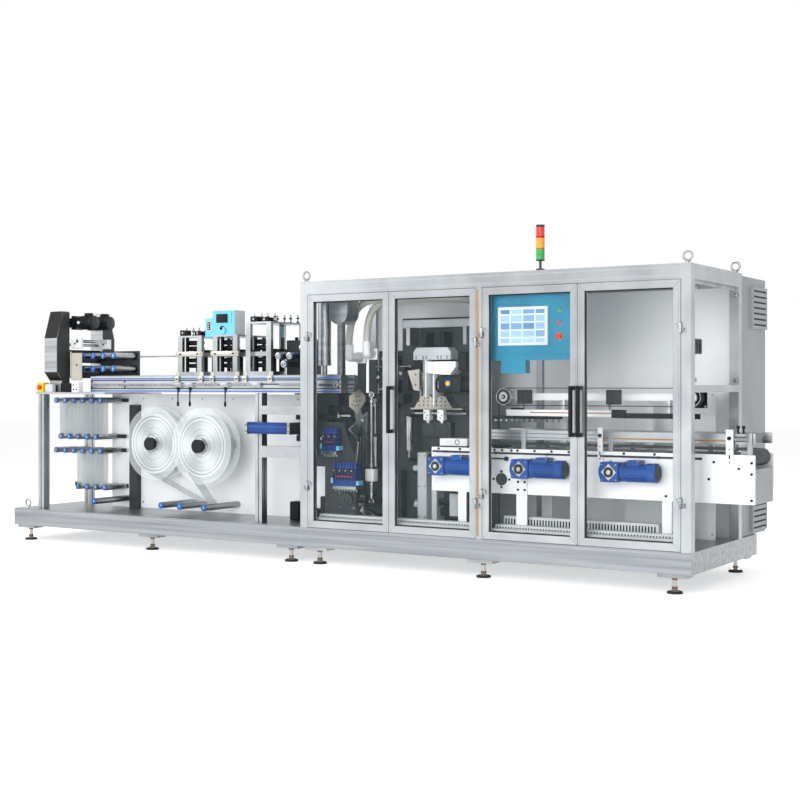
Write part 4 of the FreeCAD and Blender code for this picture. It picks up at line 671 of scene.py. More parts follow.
louvre = {"side": 0.446, "width": 0.260, "units": ((1.585, 7), (0.282, 5)),
          "pitch": 0.036}
blades = []
for low, count in louvre["units"]:
    for index in range(count):
        z = low + index * louvre["pitch"]
        # the louvre is drawn dark: each blade and the strip behind it are painted shade of the openings
        blade = block((2.5855, louvre["side"], z + 0.001),
                      (2.5935, louvre["side"] + louvre["width"], z + 0.0030))
        blades.append(leaned(blade, "Y", -28, (2.590, 0.576, z + 0.002)))
        blades.append(block((2.5858, louvre["side"], z),
                            (2.5868, louvre["side"] + louvre["width"], z + 0.012)))
done("louvre_blades", blades, darkPowder, smooth=0)
rim = []
for low, count in louvre["units"]:
    z0, z1 = low - 0.020, low + (count - 1) * louvre["pitch"] + 0.032
    for y, z in ((0.434, z0 + 0.008), (0.718, z0 + 0.008), (0.434, z1 - 0.008), (0.718, z1 - 0.008)):
        rim.append(turned("X", (2.5942, y, z), [(0, 0.004), (0.0006, 0.0036)], 12))
done("louvre_screws", rim, zincSteel)
doorLine = []
for x in (2.020, 2.540):  # a flush service door on the cabinet's back
    doorLine.append(block((x - 0.001, 0.7442, 0.300), (x + 0.001, 0.7448, 1.830), 0.0002))
for x in (1.710, 2.020):
    doorLine.append(block((x - 0.001, 0.7442, 0.300), (x + 0.001, 0.7448, 1.830), 0.0002))
for z in (0.300, 1.830):
    doorLine.append(block((1.710, 0.7442, z - 0.001), (2.540, 0.7448, z + 0.001), 0.0002))
done("cabinet_door_lines", doorLine, darkPowder, smooth=0)
latches = []
for x in (1.990, 2.050):
    for z in (0.560, 1.060, 1.560):
        latches.append(turned("Y", (x, 0.7425, z), [(0, 0.013), (0.0015, 0.013), (0.0022, 0.011)], 24))
done("cabinet_latches", latches, zincSteel)

fold = []
for x0, x1, z0, z1 in ((1.257, 1.261, 1.39, 1.80), (1.813, 1.817, 1.39, 1.80),
                       (1.257, 1.817, 1.39, 1.394), (1.257, 1.817, 1.796, 1.80)):
    fold.append(block((x0, -0.6246, z0), (x1, -0.6228, z1), 0.0006))
done("panel_fold", fold, tealLacquer)
bezel = []
for x0, x1, z0, z1 in ((1.321, 1.662, 1.447, 1.465), (1.321, 1.662, 1.667, 1.685),
                       (1.321, 1.341, 1.465, 1.667), (1.642, 1.662, 1.465, 1.667)):
    bezel.append(block((x0, -0.6352, z0), (x1, -0.6328, z1), 0.0010))
done("screen_bezel", bezel, greyPlastic, smooth=20)
for label, z, radius, material in (("start", 1.660, 0.012, greenPlastic),
                                   ("reset", 1.580, 0.012, redPlastic)):
    done(label + "_button", [turned("-Y", (1.739, -0.6305, z),
                                    [(0, radius - 0.001), (0.004, radius - 0.001),
         (0.006, radius - 0.003)], 28)], material)
    done(label + "_button_ring", [turned("-Y", (1.739, -0.6228, z),
                                         [(0, radius + 0.003), (0.003, radius + 0.003),
         (0.0045, radius + 0.001)], 28)], chromePlate)
done("stop_button", [turned("-Y", (1.739, -0.636, 1.500), [(0, 0.011), (0.003, 0.011), (0.004, 0.0195),
     (0.009, 0.0205), (0.013, 0.0175)], 36)], redPlastic)
done("stop_button_collar", [turned("-Y", (1.739, -0.6228, 1.500), [(0, 0.023), (0.004, 0.023),
     (0.006, 0.021)], 36)], yellowPlastic)
screws = [turned("-Y", (x, -0.6245, z), [(0, 0.0042), (0.0012, 0.0036)], 14)
          for x in (1.272, 1.802) for z in (1.405, 1.785)]
screws += [turned("-Y", (x, -0.6228, z), [(0, 0.0036), (0.0012, 0.003)], 12)
           for x in (1.345, 1.499) for z in (1.283, 1.347)]
done("panel_screws", screws, zincSteel)

tower = {"x": 1.629, "y": -0.665, "lens": 0.072, "low": 1.960}
rings = []
for index in range(4):
    z = tower["low"] + index * tower["lens"]
    rings.append(turned("Z", (tower["x"], tower["y"], max(z - 0.003, 1.958)),
                        [(0, 0.0262), (0.0012, 0.0277),
                        (0.0036, 0.0277), (0.0044, 0.0262)], 40))
rings[-1].location.z -= 0.002
settle(rings[-1])
rings.append(turned("Z", (tower["x"], tower["y"], 1.900),
                    [(0, 0.027), (0.004, 0.027), (0.007, 0.018), (0.012, 0.011)], 32))
done("tower_rings", rings, blackNylon)
print("cabinet, panel and tower dressed")

# reels: clear discs, hub caps, film rolls

reels = {"reel_1": (-1.798, -0.395), "reel_2": (-1.198, -0.545)}
for name, (x, y) in reels.items():
    z = 0.759
    discs = []
    for start in (y + 0.050, y + 0.155):
        discs.append(turned("Y", (x, start, z), [(0, 0.2785), (0.001, 0.280), (0.004, 0.280),
                                                (0.005, 0.2785)], 96))
    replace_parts(done(name + "_discs", discs, clearAcrylic, name, smooth=30), name + "_spool")
    roll = [turned("Y", (x, y + 0.0551, z), [(0, 0.2275), (0.0005, 0.228), (0.0993, 0.228),
                                            (0.0998, 0.2275)], 96)]
    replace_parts(done(name + "_wound_film", roll, filmRoll1 if name == "reel_1" else filmRoll2, name,
                     smooth=30), name + "_film")
    hub = [turned("-Y", (x, y + 0.0498, z), [(0, 0.062), (0.004, 0.062), (0.006, 0.058), (0.016, 0.056),
                                            (0.018, 0.050)], 48)]
    done(name + "_hub_flange", hub, chromePlate, name)
    done(name + "_hub_screws", [turned("-Y", (x + 0.057 * math.cos(a), y + 0.0438, z + 0.057 * math.sin(a)),
         [(0, 0.0036), (0.003, 0.0036), (0.0036, 0.0028)], 12) for a in (0.3, 1.35, 2.4, 3.44, 4.5, 5.55)],
         blackOxide, name)
    # the fixed end of the shaft, in front of the turning hub
    cap = [turned("-Y", (x, y + 0.031, z), [(0, 0.040), (0.022, 0.040), (0.027, 0.036), (0.030, 0.020)],
                  48)]
    done(name + "_shaft_cap", cap, darkPowder)
    done(name + "_cap_spot", [turned("-Y", (x, y + 0.0035, z),
                                     [(0, 0.013), (0.002, 0.013), (0.003, 0.010)], 24)],
         yellowPlastic)
done("shaft_grips", [turned("-Y", (x + 0.0, y + 0.028, 0.759),
                            [(0, 0.0415), (0.004, 0.0415), (0.005, 0.040)], 48)
                     for x, y in reels.values()], chromePlate)

# bank and guide rollers: steel bodies with blue end caps

bank = {"rows": ((1.085, -2.784, 6), (0.800, -2.7364, 5),
                                              (0.690, -2.784, 6), (0.408, -2.546, 4))}
spots = [(x0 + 0.0952 * i, z) for z, x0, count in bank["rows"] for i in range(count)]
sleeve = turned("Y", (0, 0, 0), [(0, 0.0215), (0.001, 0.0225), (0.226, 0.0225), (0.227, 0.0215)], 20)
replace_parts(done("bank_sleeves", copies(sleeve, [(x, -0.394, z) for x, z in spots]), zincSteel),
            "bank_rollers")
cap = turned("-Y", (0, 0, 0), [(0, 0.0225), (0.010, 0.0225), (0.012, 0.020), (0.0125, 0.013),
                               (0.009, 0.012)], 20)
done("bank_caps", copies(cap, [(x, -0.384, z) for x, z in spots]), blueNylon)
core = turned("-Y", (0, 0, 0), [(0, 0.0075), (0.004, 0.0075), (0.005, 0.006)], 14)
done("bank_axles", copies(core, [(x, -0.3935, z) for x, z in spots]), chromePlate)

deckSpots = [(-2.225, 0.315), (-1.545, 0.315), (-1.365, 0.315), (-1.135, 0.315)]
headSpots = [(x, z) for x in (-2.395, -2.288, -2.181, -2.074) for z in (1.330, 1.430)]
feedSpots = [(-0.455, 1.407), (-0.407, 1.350), (-0.359, 1.407)]
bodies = copies(turned("Y", (0, 0, 0), [(0, 0.0225), (0.001, 0.0235), (0.395, 0.0235), (0.396, 0.0225)],
                       24),
                [(x, -0.541, z) for x, z in deckSpots])
bodies += copies(turned("Y", (0, 0, 0), [(0, 0.0225), (0.001, 0.0235), (0.236, 0.0235), (0.237, 0.0225)],
                        24),
                 [(x, -0.492, z) for x, z in headSpots])
bodies += copies(turned("Y", (0, 0, 0), [(0, 0.0225), (0.001, 0.0235), (0.146, 0.0235), (0.147, 0.0225)],
                        24),
                 [(x, -0.542, z) for x, z in feedSpots])
guideBodies = done("guide_sleeves", bodies, zincSteel)
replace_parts(guideBodies, "idler_rollers")
ends = [(x, -0.532, z) for x, z in deckSpots] + [(x, -0.482, z) for x, z in headSpots]
ends += [(x, -0.532, z) for x, z in feedSpots]
cap = turned("-Y", (0, 0, 0), [(0, 0.0245), (0.010, 0.0245), (0.0125, 0.021), (0.013, 0.014),
                               (0.010, 0.013)], 24)
done("guide_caps", copies(cap, ends), blueNylon)
core = turned("-Y", (0, 0, 0), [(0, 0.0085), (0.0115, 0.0085), (0.0125, 0.007)], 16)
done("guide_axles", copies(core, ends), chromePlate)
drums = [turned("Y", (x, -0.450, 0.780), [(0, 0.0435), (0.001, 0.0445), (0.299, 0.0445), (0.300, 0.0435)],
                40)
         for x in (1.150, 2.835)]
drums += [turned("Y", (x, -0.4635, 0.780), [(0, 0.012), (0.327, 0.012)], 20) for x in (1.150, 2.835)]
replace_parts(done("belt_drums", drums, zincSteel), "idler_rollers")
tube = turned("X", (-0.6207, -0.645, 0.906), [(0, 0.037), (0.003, 0.041), (0.343, 0.041), (0.346, 0.037)],
              48)
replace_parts(done("blue_guide_roller", [tube], blueSleeve, "blue_roller"), "blue_roller")
ends = [turned("-X", (-0.6197, -0.645, 0.906), [(0, 0.018), (0.0008, 0.018)], 24),
        turned("X", (-0.2757, -0.645, 0.906), [(0, 0.018), (0.0008, 0.018)], 24)]
done("blue_guide_roller_bearings", ends, chromePlate, "blue_roller")
done("roller_arm_screws", [turned("-Y", (x, -0.6855, z), [(0, 0.005), (0.003, 0.005), (0.004, 0.0035)], 14)
                           for x in (-0.631, -0.2645) for z in (0.885, 0.927)], blackOxide)
print("rollers made")

# the head, the table and the stations

def outlined(axis, points, low, high):  # a flat outline in the two other axes, pulled to a thickness
    bpy.ops.mesh.primitive_circle_add(vertices=len(points), radius=1, fill_type='NGON')
    item = bpy.context.object
    for corner, (a, b) in zip(item.data.vertices, points):
        corner.co = {"X": (low, a, b), "Y": (a, low, b), "Z": (a, b, low)}[axis]
    pull = {"X": (high - low, 0, 0), "Y": (0, high - low, 0), "Z": (0, 0, high - low)}[axis]
    bpy.ops.object.mode_set(mode='EDIT')
    bpy.ops.mesh.select_all(action='SELECT')
    bpy.ops.mesh.extrude_region_move(TRANSFORM_OT_translate={"value": pull})
    bpy.ops.mesh.select_all(action='SELECT')
    bpy.ops.mesh.normals_make_consistent(inside=False)
    bpy.ops.object.mode_set(mode='OBJECT')
    return settle(item)


def boltHeads(axis, radius, places, sides=12):  # socket screws: a head with its hollow
    head = turned(axis, (0, 0, 0), [(0, radius), (radius * 0.7, radius), (radius * 0.85, radius * 0.85),
                                    (radius * 0.86, radius * 0.5), (radius * 0.5, radius * 0.45)], sides)
    return copies(head, places)


def plates(rows, bevel=0.001):  # many bevelled plates from their low and high corners
    return [block(low, high, bevel) for low, high in rows]


# the unwind head: dark side sheets, black slopes, folded nickel plates, motors with fins
head = {"left": -2.641, "right": -2.510, "mirror": -0.670, "sheet": 0.0015, "side": [
    (-0.518, 1.160), (-0.518, 1.771), (-0.583, 1.771), (-0.643, 1.566), (-0.643, 1.307),
    (-0.589, 1.243), (-0.589, 1.160)],
    "slopes": [[(-0.588, 1.775), (-0.650, 1.567), (-0.6514, 1.5674), (-0.5894, 1.7754)],
               [(-0.650, 1.305), (-0.595, 1.240), (-0.5961, 1.2391), (-0.6511, 1.3041)],
               [(-0.516, 1.775), (-0.587, 1.775), (-0.587, 1.7762), (-0.516, 1.7762)]]}
sheets, slopes = [], []
for turn in (0, 1):
    def across(points):
        return [(head["mirror"] - y if turn else y, z) for y, z in points]
    sheets.append(outlined("X", across(head["side"]), head["right"], head["right"] + head["sheet"]))
    sheets.append(outlined("X", across(head["side"]), head["left"] - head["sheet"], head["left"]))
    slopes += [outlined("X", across(points), head["left"], head["right"]) for points in head["slopes"]]
done("head_side_sheets", sheets, darkPowder, smooth=0)
done("head_slopes", slopes, blackNylon, smooth=0)
done("head_side_screws", boltHeads("X", 0.005, [(-2.5085, y, z) for y in (-0.530, -0.140)
                                                for z in (1.200, 1.560, 1.750)]), blackOxide)
folds = [outlined("Z", [(-2.5085, -0.535), (-2.5085, -0.538), (-2.430, -0.583), (-2.4265, -0.580)], 1.262,
                  1.462),
         outlined("Z", [(-2.4215, -0.580), (-2.419, -0.583), (-2.338, -0.553), (-2.338, -0.550)], 1.240,
                  1.452)]
done("head_fold_plates", folds, nickelPlate, smooth=0)
done("head_fold_back", [block((-2.4268, -0.5806, 1.250), (-2.4212, -0.5706, 1.470), 0.001),
                        block((-2.5085, -0.545, 1.300), (-2.360, -0.530, 1.330), 0.002),
                        block((-2.5085, -0.545, 1.400), (-2.360, -0.530, 1.430), 0.002)], darkPowder)
# dark discs in the fold plates' holes: painted shade
done("head_fold_holes", [turned("-Y", (-2.452, -0.5700, 1.358), [(0, 0.007), (0.002, 0.007)], 16),
                         turned("-Y", (-2.380, -0.5685, 1.358), [(0, 0.007), (0.002, 0.007)], 16)],
     blackOxide)
motor = {"y": (-0.445, -0.275)}
fins, ends, faces = [], [], []
for y in motor["y"]:
    faces.append(block((-2.5085, y - 0.054, 1.636), (-2.4920, y + 0.054, 1.744), 0.003, 2))
    faces.append(block((-2.4600, y - 0.050, 1.640), (-2.4480, y + 0.050, 1.740), 0.003, 2))
    fins += [turned("X", (-2.440 + 0.0085 * i, y, 1.690), [(0, 0.0535), (0.0008, 0.0545), (0.0022, 0.0545),
                                                          (0.003, 0.0535)], 32) for i in range(13)]
    ends.append(turned("X", (-2.3105, y, 1.690), [(0, 0.046), (0.006, 0.046), (0.010, 0.036)], 32))
    faces.append(block((-2.400, y - 0.022, 1.738), (-2.345, y + 0.022, 1.764), 0.004, 2))
done("head_motor_fins", fins, blackOxide, smooth=30)
done("head_motor_flanges", faces, blackNylon)
done("head_motor_ends", ends, darkPowder)
done("head_motor_bolts", boltHeads("X", 0.006, [(-2.448, y + a, 1.690 + b) for y in motor["y"]
     for a in (-0.041, 0.041) for b in (-0.041, 0.041)]), chromePlate)
done("head_motor_plugs", [turned("-Y", (-2.425, -0.499, 1.690),
                                 [(0, 0.011), (0.010, 0.011), (0.014, 0.008)], 20)],
     whitePowder)
blocks = plates([((-2.510, y, 1.490), (-2.405, y + 0.035, 1.565)) for y in (-0.505, -0.200)], 0.003)
done("head_bearing_blocks", blocks, whitePowder)
done("head_bearing_bolts", boltHeads("-Y", 0.007, [(-2.458, y, 1.527) for y in (-0.505, -0.200)]),
     blackOxide)
bars = [turned("Y", (x, -0.514, z), [(0, 0.012), (0.358, 0.012)], 20) for x,
        z in ((-2.430, 1.545), (-2.540, 1.520))]
done("head_cross_rods", bars, chromePlate)
done("web_tie_rod", [turned("X", (-2.034, -0.245, 1.425), [(0, 0.009), (0.010, 0.009), (0.011, 0.006),
     (0.648, 0.006), (0.649, 0.009), (0.659, 0.009)], 20)], chromePlate)
rims = []
for x in (-2.395, -2.288, -2.181, -2.074):
    for z in (1.330, 1.430):
        rims.append(turned("-Y", (x, -0.2545, z), [(0, 0.031), (0.008, 0.031), (0.010, 0.027)], 24))
done("head_roller_bushes", rims, blackNylon)
print("unwind head dressed")

# switches and small boxes along the front of the table
done("stop_box", [block((-2.730, -0.645, 1.150), (-2.660, -0.585, 1.2235), 0.004, 2),
                  block((-2.7285, -0.6465, 1.1525), (-2.6615, -0.644, 1.2210), 0.001)], yellowPlastic)
done("stop_box_collar", [turned("-Y", (-2.695, -0.646, 1.187), [(0, 0.017), (0.004, 0.017), (0.0055, 0.012),
                                                              (0.009, 0.011)], 28)], blackNylon)
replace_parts(done("stop_box_button", [turned("-Y", (-2.695, -0.6525, 1.187),
                                            [(0, 0.012), (0.002, 0.012), (0.003, 0.0195),
     (0.006, 0.0200), (0.0085, 0.0165)], 36)], redPlastic), "table_fittings")
ribs = [block((-2.640, -0.645, 1.150), (-2.565, -0.605, 1.2120), 0.003, 2)]
ribs += plates([((-2.637, -0.6475, z), (-2.568, -0.644, z + 0.0045))
                for z in (1.160, 1.1725, 1.185, 1.1975)], 0.001)
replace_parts(done("terminal_box", ribs, greyPlastic), "table_fittings")
vents = [block((-2.485, -0.635, 1.150), (-2.375, -0.575, 1.220), 0.004, 2)]
vents += plates([((x, -0.6375, 1.160), (x + 0.006, -0.634, 1.212)) for x in
                 [-2.4795 + 0.0125 * i for i in range(8)]], 0.001)
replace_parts(done("plug_box", vents, blackNylon), "table_fittings")
hold = [block((-2.365, -0.635, 1.150), (-2.295, -0.629, 1.230), 0.001),
        block((-2.365, -0.629, 1.150), (-2.359, -0.585, 1.230), 0.001),
        block((-2.301, -0.629, 1.150), (-2.295, -0.585, 1.230), 0.001),
        block((-2.365, -0.629, 1.150), (-2.295, -0.585, 1.156), 0.001)]
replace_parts(done("white_bracket", hold, whitePowder), "table_fittings")
done("bracket_bolts", boltHeads("-Y", 0.006, [(-2.346, -0.635, 1.205), (-2.346, -0.635, 1.172),
                                              (-2.313, -0.635, 1.172)]), blackOxide)
levers = []
for x in (-1.369, -1.256, -0.926):
    levers.append(turned("-Z", (x, -0.551, 1.205), [(0, 0.0075), (0.020, 0.0075), (0.024, 0.0055),
                                                    (0.120, 0.0045),
                                                   (0.126, 0.0085), (0.150, 0.0085), (0.156, 0.006)], 20))
    levers.append(block((x - 0.009, -0.557, 1.172), (x + 0.009, -0.545, 1.208), 0.002, 2))
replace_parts(done("clamp_levers", levers, blackNylon), "table_fittings")
small = []
for x, z in ((-0.245, 1.407), (-0.292, 1.464)):
    small.append(turned("-Y", (x, -0.395, z), [(0, 0.030), (0.004, 0.034), (0.030, 0.035), (0.034, 0.031),
                                               (0.040, 0.035),
                                              (0.044, 0.031), (0.050, 0.035), (0.080, 0.035),
                                               (0.086, 0.024), (0.098, 0.022)], 32))
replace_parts(done("feed_motors", small, blueNylon), "table_fittings")
done("feed_motor_caps", [turned("-Y", (x, -0.492, z), [(0, 0.020), (0.006, 0.020), (0.008, 0.012)], 24)
                         for x, z in ((-0.245, 1.407), (-0.292, 1.464))], chromePlate)
rims = [turned("-Y", (x, -0.545, z), [(0, 0.0245), (0.005, 0.0245), (0.0065, 0.020), (0.0065, 0.012),
                                      (0.003, 0.011)], 28)
        for x, z in ((-0.455, 1.407), (-0.407, 1.350), (-0.359, 1.407))]
done("feed_roller_rings", rims, chromePlate)

# table beams: open slots drawn as dark strips of painted shade, blue cover strips, the slide along the top
slots, covers, rails, cars = [], [], [], []
for x0, x1, y in ((-2.255, 0.075, -0.545), (-2.255, -0.045, -0.205)):
    # each slot is a thin dark strip: painted shade of its recess
    for z in (1.175, 1.205, 1.235):
        slots.append(block((x0 + 0.002, y - 0.0004, z), (x1 - 0.002, y + 0.0004, z + 0.0085), 0.0002))
    covers.append(block((x0 + 0.002, y - 0.0012, 1.2475), (x1 - 0.002, y - 0.0001, 1.2560), 0.0004))
    covers.append(block((x0 + 0.002, y - 0.0012, 1.1560), (x1 - 0.002, y - 0.0001, 1.1645), 0.0004))
for x0, x1, y in ((-2.235, 0.060, -0.505), (-2.235, -0.060, -0.165)):
    rails.append(block((x0, y - 0.010, 1.2695), (x1, y + 0.010, 1.2760), 0.0015))
done("beam_slots", slots, darkPowder, smooth=0)
done("beam_slot_covers", covers, blueNylon, smooth=0)
slide = [block((-2.230, -0.5585, 1.196), (-0.660, -0.5455, 1.214), 0.0015),
         block((-0.440, -0.5585, 1.196), (0.060, -0.5455, 1.214), 0.0015)]
done("slide_rail", slide, chromePlate, smooth=20)
done("slide_rail_screws", boltHeads("-Y", 0.0035, [(x, -0.5585, 1.205)
                                                   for x in [-2.18 + 0.12 * i for i in range(13)]], 10),
     blackOxide)
for x in (-1.369, -1.256, -0.926, -0.640):
    cars.append(block((x - 0.040, -0.5640, 1.188), (x + 0.040, -0.5460, 1.222), 0.003, 2))
done("slide_carriages", cars, zincSteel)
done("top_rails", rails, chromePlate, smooth=20)
done("table_screws", boltHeads("-Y", 0.006, [(x, -0.5450, z) for x in (-2.240, -1.900, 0.055)
                                             for z in (1.190, 1.230)]),
     blackOxide)
print("table dressed")

# forming stations: nickel front bars, black gear between the columns, threaded posts on top
stations = {"lefts": (-1.375, -1.045, -0.745), "span": 0.225, "tops": (1.563, 1.563, 1.650)}
bars, boltSpots, frames, rods, shafts, nutsUp = [], [], [], [], [], []
for left, top in zip(stations["lefts"], stations["tops"]):
    right = left + stations["span"]
    if top < 1.6:
        bars.append(block((left - 0.012, -0.5570, 1.412), (right + 0.020, -0.5450, 1.447), 0.002, 2))
        boltSpots += [(left + 0.030, -0.557, 1.4295), (right - 0.030, -0.557, 1.4295)]
    for column in (left, right - 0.042):  # inner black guides beside each column, front and rear
        for y0 in (-0.510, -0.190):
            frames.append(block((column + (0.043 if column == left else -0.014), y0, 1.3005),
                                (column + (0.056 if column == left else -0.001), y0 + 0.030, 1.5505),
                                0.002))
    for z, r in ((1.345, 0.016), (1.385, 0.016), (1.470, 0.018), (1.512, 0.018)):
        shafts.append(turned("X", (left + 0.042, -0.470, z),
                             [(0, 0.010), (0.012, 0.010), (0.013, r), (0.128, r),
                                                             (0.129, 0.010), (0.141, 0.010)], 24))
    for y in (-0.420, -0.330, -0.240):
        frames.append(block((left + 0.046, y, 1.441), (right - 0.046, y + 0.024, 1.462), 0.002))
        frames.append(block((left + 0.060, y + 0.004, 1.3005), (left + 0.082, y + 0.020, 1.4095), 0.002))
        frames.append(block((right - 0.082, y + 0.004, 1.3005), (right - 0.060, y + 0.020, 1.4095), 0.002))
    for x in (left + 0.021, left + 0.085, right - 0.085, right - 0.021):
        if -1.05 < x < -0.84 and top < 1.6:
            continue
        for y in (-0.470, -0.200):
            rods.append(turned("Z", (x, y, top), [(0, 0.008), (0.002, 0.008), (0.003, 0.0055),
                                                  (0.060, 0.0055), (0.062, 0.004)], 14))
            nutsUp.append(turned("Z", (x, y, top), [(0, 0.0105), (0.001, 0.0115), (0.009, 0.0115),
                                                    (0.010, 0.0105)], 6))
            nutsUp.append(turned("Z", (x, y, top + 0.030),
                                 [(0, 0.0105), (0.001, 0.0115), (0.009, 0.0115), (0.010, 0.0105)], 6))
done("station_bars", bars, nickelPlate)
done("station_bar_bolts", boltHeads("-Y", 0.0065, boltSpots), blackOxide)
done("station_guides", frames, blackOxide)
done("station_rollers", shafts, blackNylon)
done("station_posts", rods, zincSteel)
done("station_nuts", nutsUp, blackOxide, smooth=20)
clamps = []
for left in (-1.375, -1.045, -0.745):
    for x in (left - 0.021, left + 0.204):
        clamps.append(block((x + 0.004, -0.548, 1.2705), (x + 0.038, -0.5455, 1.2995), 0.0008))
        clamps.append(block((x + 0.002, -0.5600, 1.225), (x + 0.040, -0.5465, 1.2700), 0.003, 2))
done("station_clamps", clamps, nickelPlate)
done("station_clamp_bolts", boltHeads("-Y", 0.006, [(left + dx, -0.560, 1.248)
                                                    for left in (-1.375, -1.045, -0.745)
                                                    for dx in (0.0, 0.225)]), blackOxide)
small = plates([((-1.358, -0.545, 1.5635), (-1.300, -0.480, 1.604)),
                ((-1.240, -0.520, 1.5635), (-1.180, -0.450, 1.596)),
                ((-0.725, -0.520, 1.6505), (-0.665, -0.440, 1.690)),
                ((-0.620, -0.530, 1.6505), (-0.560, -0.455, 1.682))], 0.004)
done("station_valves", small, blackNylon)
done("station_valve_spots", [turned("-Y", (x, y, z), [(0, 0.009), (0.004, 0.009), (0.006, 0.006)], 18)
                             for x, y, z in
     ((-1.329, -0.545, 1.584), (-1.210, -0.520, 1.580), (-0.695, -0.520, 1.670), (-0.590, -0.530, 1.666))],
     zincSteel)
print("stations dressed")

# the two controllers: windows, knob, dark side sheet
display = [block((-1.004, -0.5585, 1.650), (-0.905, -0.5455, 1.712), 0.002, 2)]
display.append(block((-1.094, -0.5475, 1.600), (-1.066, -0.5455, 1.658), 0.002))
done("controller_windows", display, blackNylon)
done("controller_rims", plates([((-1.010, -0.5475, 1.644), (-0.899, -0.5452, 1.718)),
                                ((-1.099, -0.5465, 1.595), (-1.061, -0.5452, 1.663))], 0.001), greyPlastic)
done("controller_knob", [turned("-Y", (-0.955, -0.546, 1.610),
                                [(0, 0.020), (0.003, 0.020), (0.004, 0.015), (0.014, 0.014),
                                                              (0.015, 0.012)], 28)], blackNylon)
done("controller_knob_ring", [turned("-Y", (-0.955, -0.5452, 1.610),
                                     [(0, 0.0235), (0.0015, 0.0235), (0.002, 0.022)], 32)],
     greyPlastic)
done("controller_side", [block((-0.8450, -0.541, 1.566), (-0.8435, -0.431, 1.734), 0.0005)], greyPowder,
     smooth=0)
done("controller_dots", [turned("-Y", (-1.080, -0.5475, z), [(0, 0.005), (0.002, 0.005), (0.003, 0.003)],
                                14)
                         for z in (1.612, 1.628, 1.644)], greyPlastic)
print("controllers dressed")

# behind the doors

def rodFrom(start, end, radius, sides=20):  # a round bar between two points
    run = Vector(end) - Vector(start)
    item = turned("Z", (0, 0, 0), [(0, radius * 0.8), (radius * 0.2, radius),
                                   (run.length - radius * 0.2, radius), (run.length, radius * 0.8)], sides)
    item.rotation_euler = run.to_track_quat("Z", "Y").to_euler()
    item.location = start
    return settle(item)


def pipe(route, radius):  # a bent pipe with closed ends
    item = hoseCurve("pipe", route, radius)
    item.data.use_fill_caps = True
    pick(item)
    bpy.ops.object.convert(target='MESH')
    return settle(bpy.context.object)


def dots(axis, radius, places):  # thin round discs set where holes are; dark in every use here, as painted shade of the holes
    return copies(turned(axis, (0, 0, 0), [(0, radius), (0.0008, radius), (0.0012, radius * 0.8)], 12),
                  places)


# guard sheets: white roof and back, a dark machine plate, a white service panel, hose elbows on dark stands
roof = plates([((x0, -0.635, 1.896), (x1, 0.145, 1.900)) for x0, x1 in ((-0.095, 1.200), (1.240, 2.535))],
              0.0005)
roof += plates([((x0, 0.175, 0.245), (x1, 0.179, 1.810)) for x0, x1 in ((-0.095, 1.200), (1.240, 2.535))],
               0.0005)
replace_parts(done("roof_and_back_sheets", roof, whitePowder, smooth=0), "guard_panels")
plate = [block((-0.095, -0.195, 0.245), (1.090, -0.175, 1.150), 0.002),
         outlined("Y", [(-0.093, 0.245), (0.160, 0.245), (0.160, 0.700), (0.060, 0.950), (-0.093, 0.950)],
                  -0.495, -0.491)]
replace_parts(done("machine_plate", plate, darkPowder, smooth=0), "guard_panels")
service = [block((1.895, 0.005, 0.245), (2.495, 0.009, 1.177), 0.0008)]
service += plates([((x, 0.001, 0.248), (x + 0.012, 0.006, 1.175)) for x in (1.895, 2.189, 2.483)], 0.001)
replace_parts(done("service_panel", service, whitePowder), "guard_panels")
done("service_panel_screws", boltHeads("-Y", 0.006, [(x, 0.005, z) for x in (1.915, 2.170, 2.215, 2.475)
                                                    for z in (0.280, 0.700, 1.140)]), zincSteel)
bends, stands = [], []
for x, y, low, top in ((0.004, -0.345, 1.396, 1.481), (0.100, -0.268, 1.420, 1.505)):
    bends.append(pipe([(x, y, top), (x, y, low + 0.030), (x, y, low), (x, y + 0.030, low),
                       (x, -0.185, low)], 0.031))
    bends.append(turned("Z", (x, y, top - 0.010), [(0, 0.031), (0.002, 0.0345), (0.010, 0.0345),
                                                   (0.011, 0.029)], 32))
    stands.append(block((x - 0.031, -0.195, 1.150), (x + 0.031, -0.175, low - 0.020), 0.002))
    bends.append(block((x - 0.040, -0.200, low - 0.040), (x + 0.040, -0.176, low + 0.040), 0.004, 2))
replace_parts(done("hose_elbows", bends, whitePowder), "guard_panels")
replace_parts(done("elbow_stands", stands, darkPowder), "guard_panels")
print("guard sheets made")

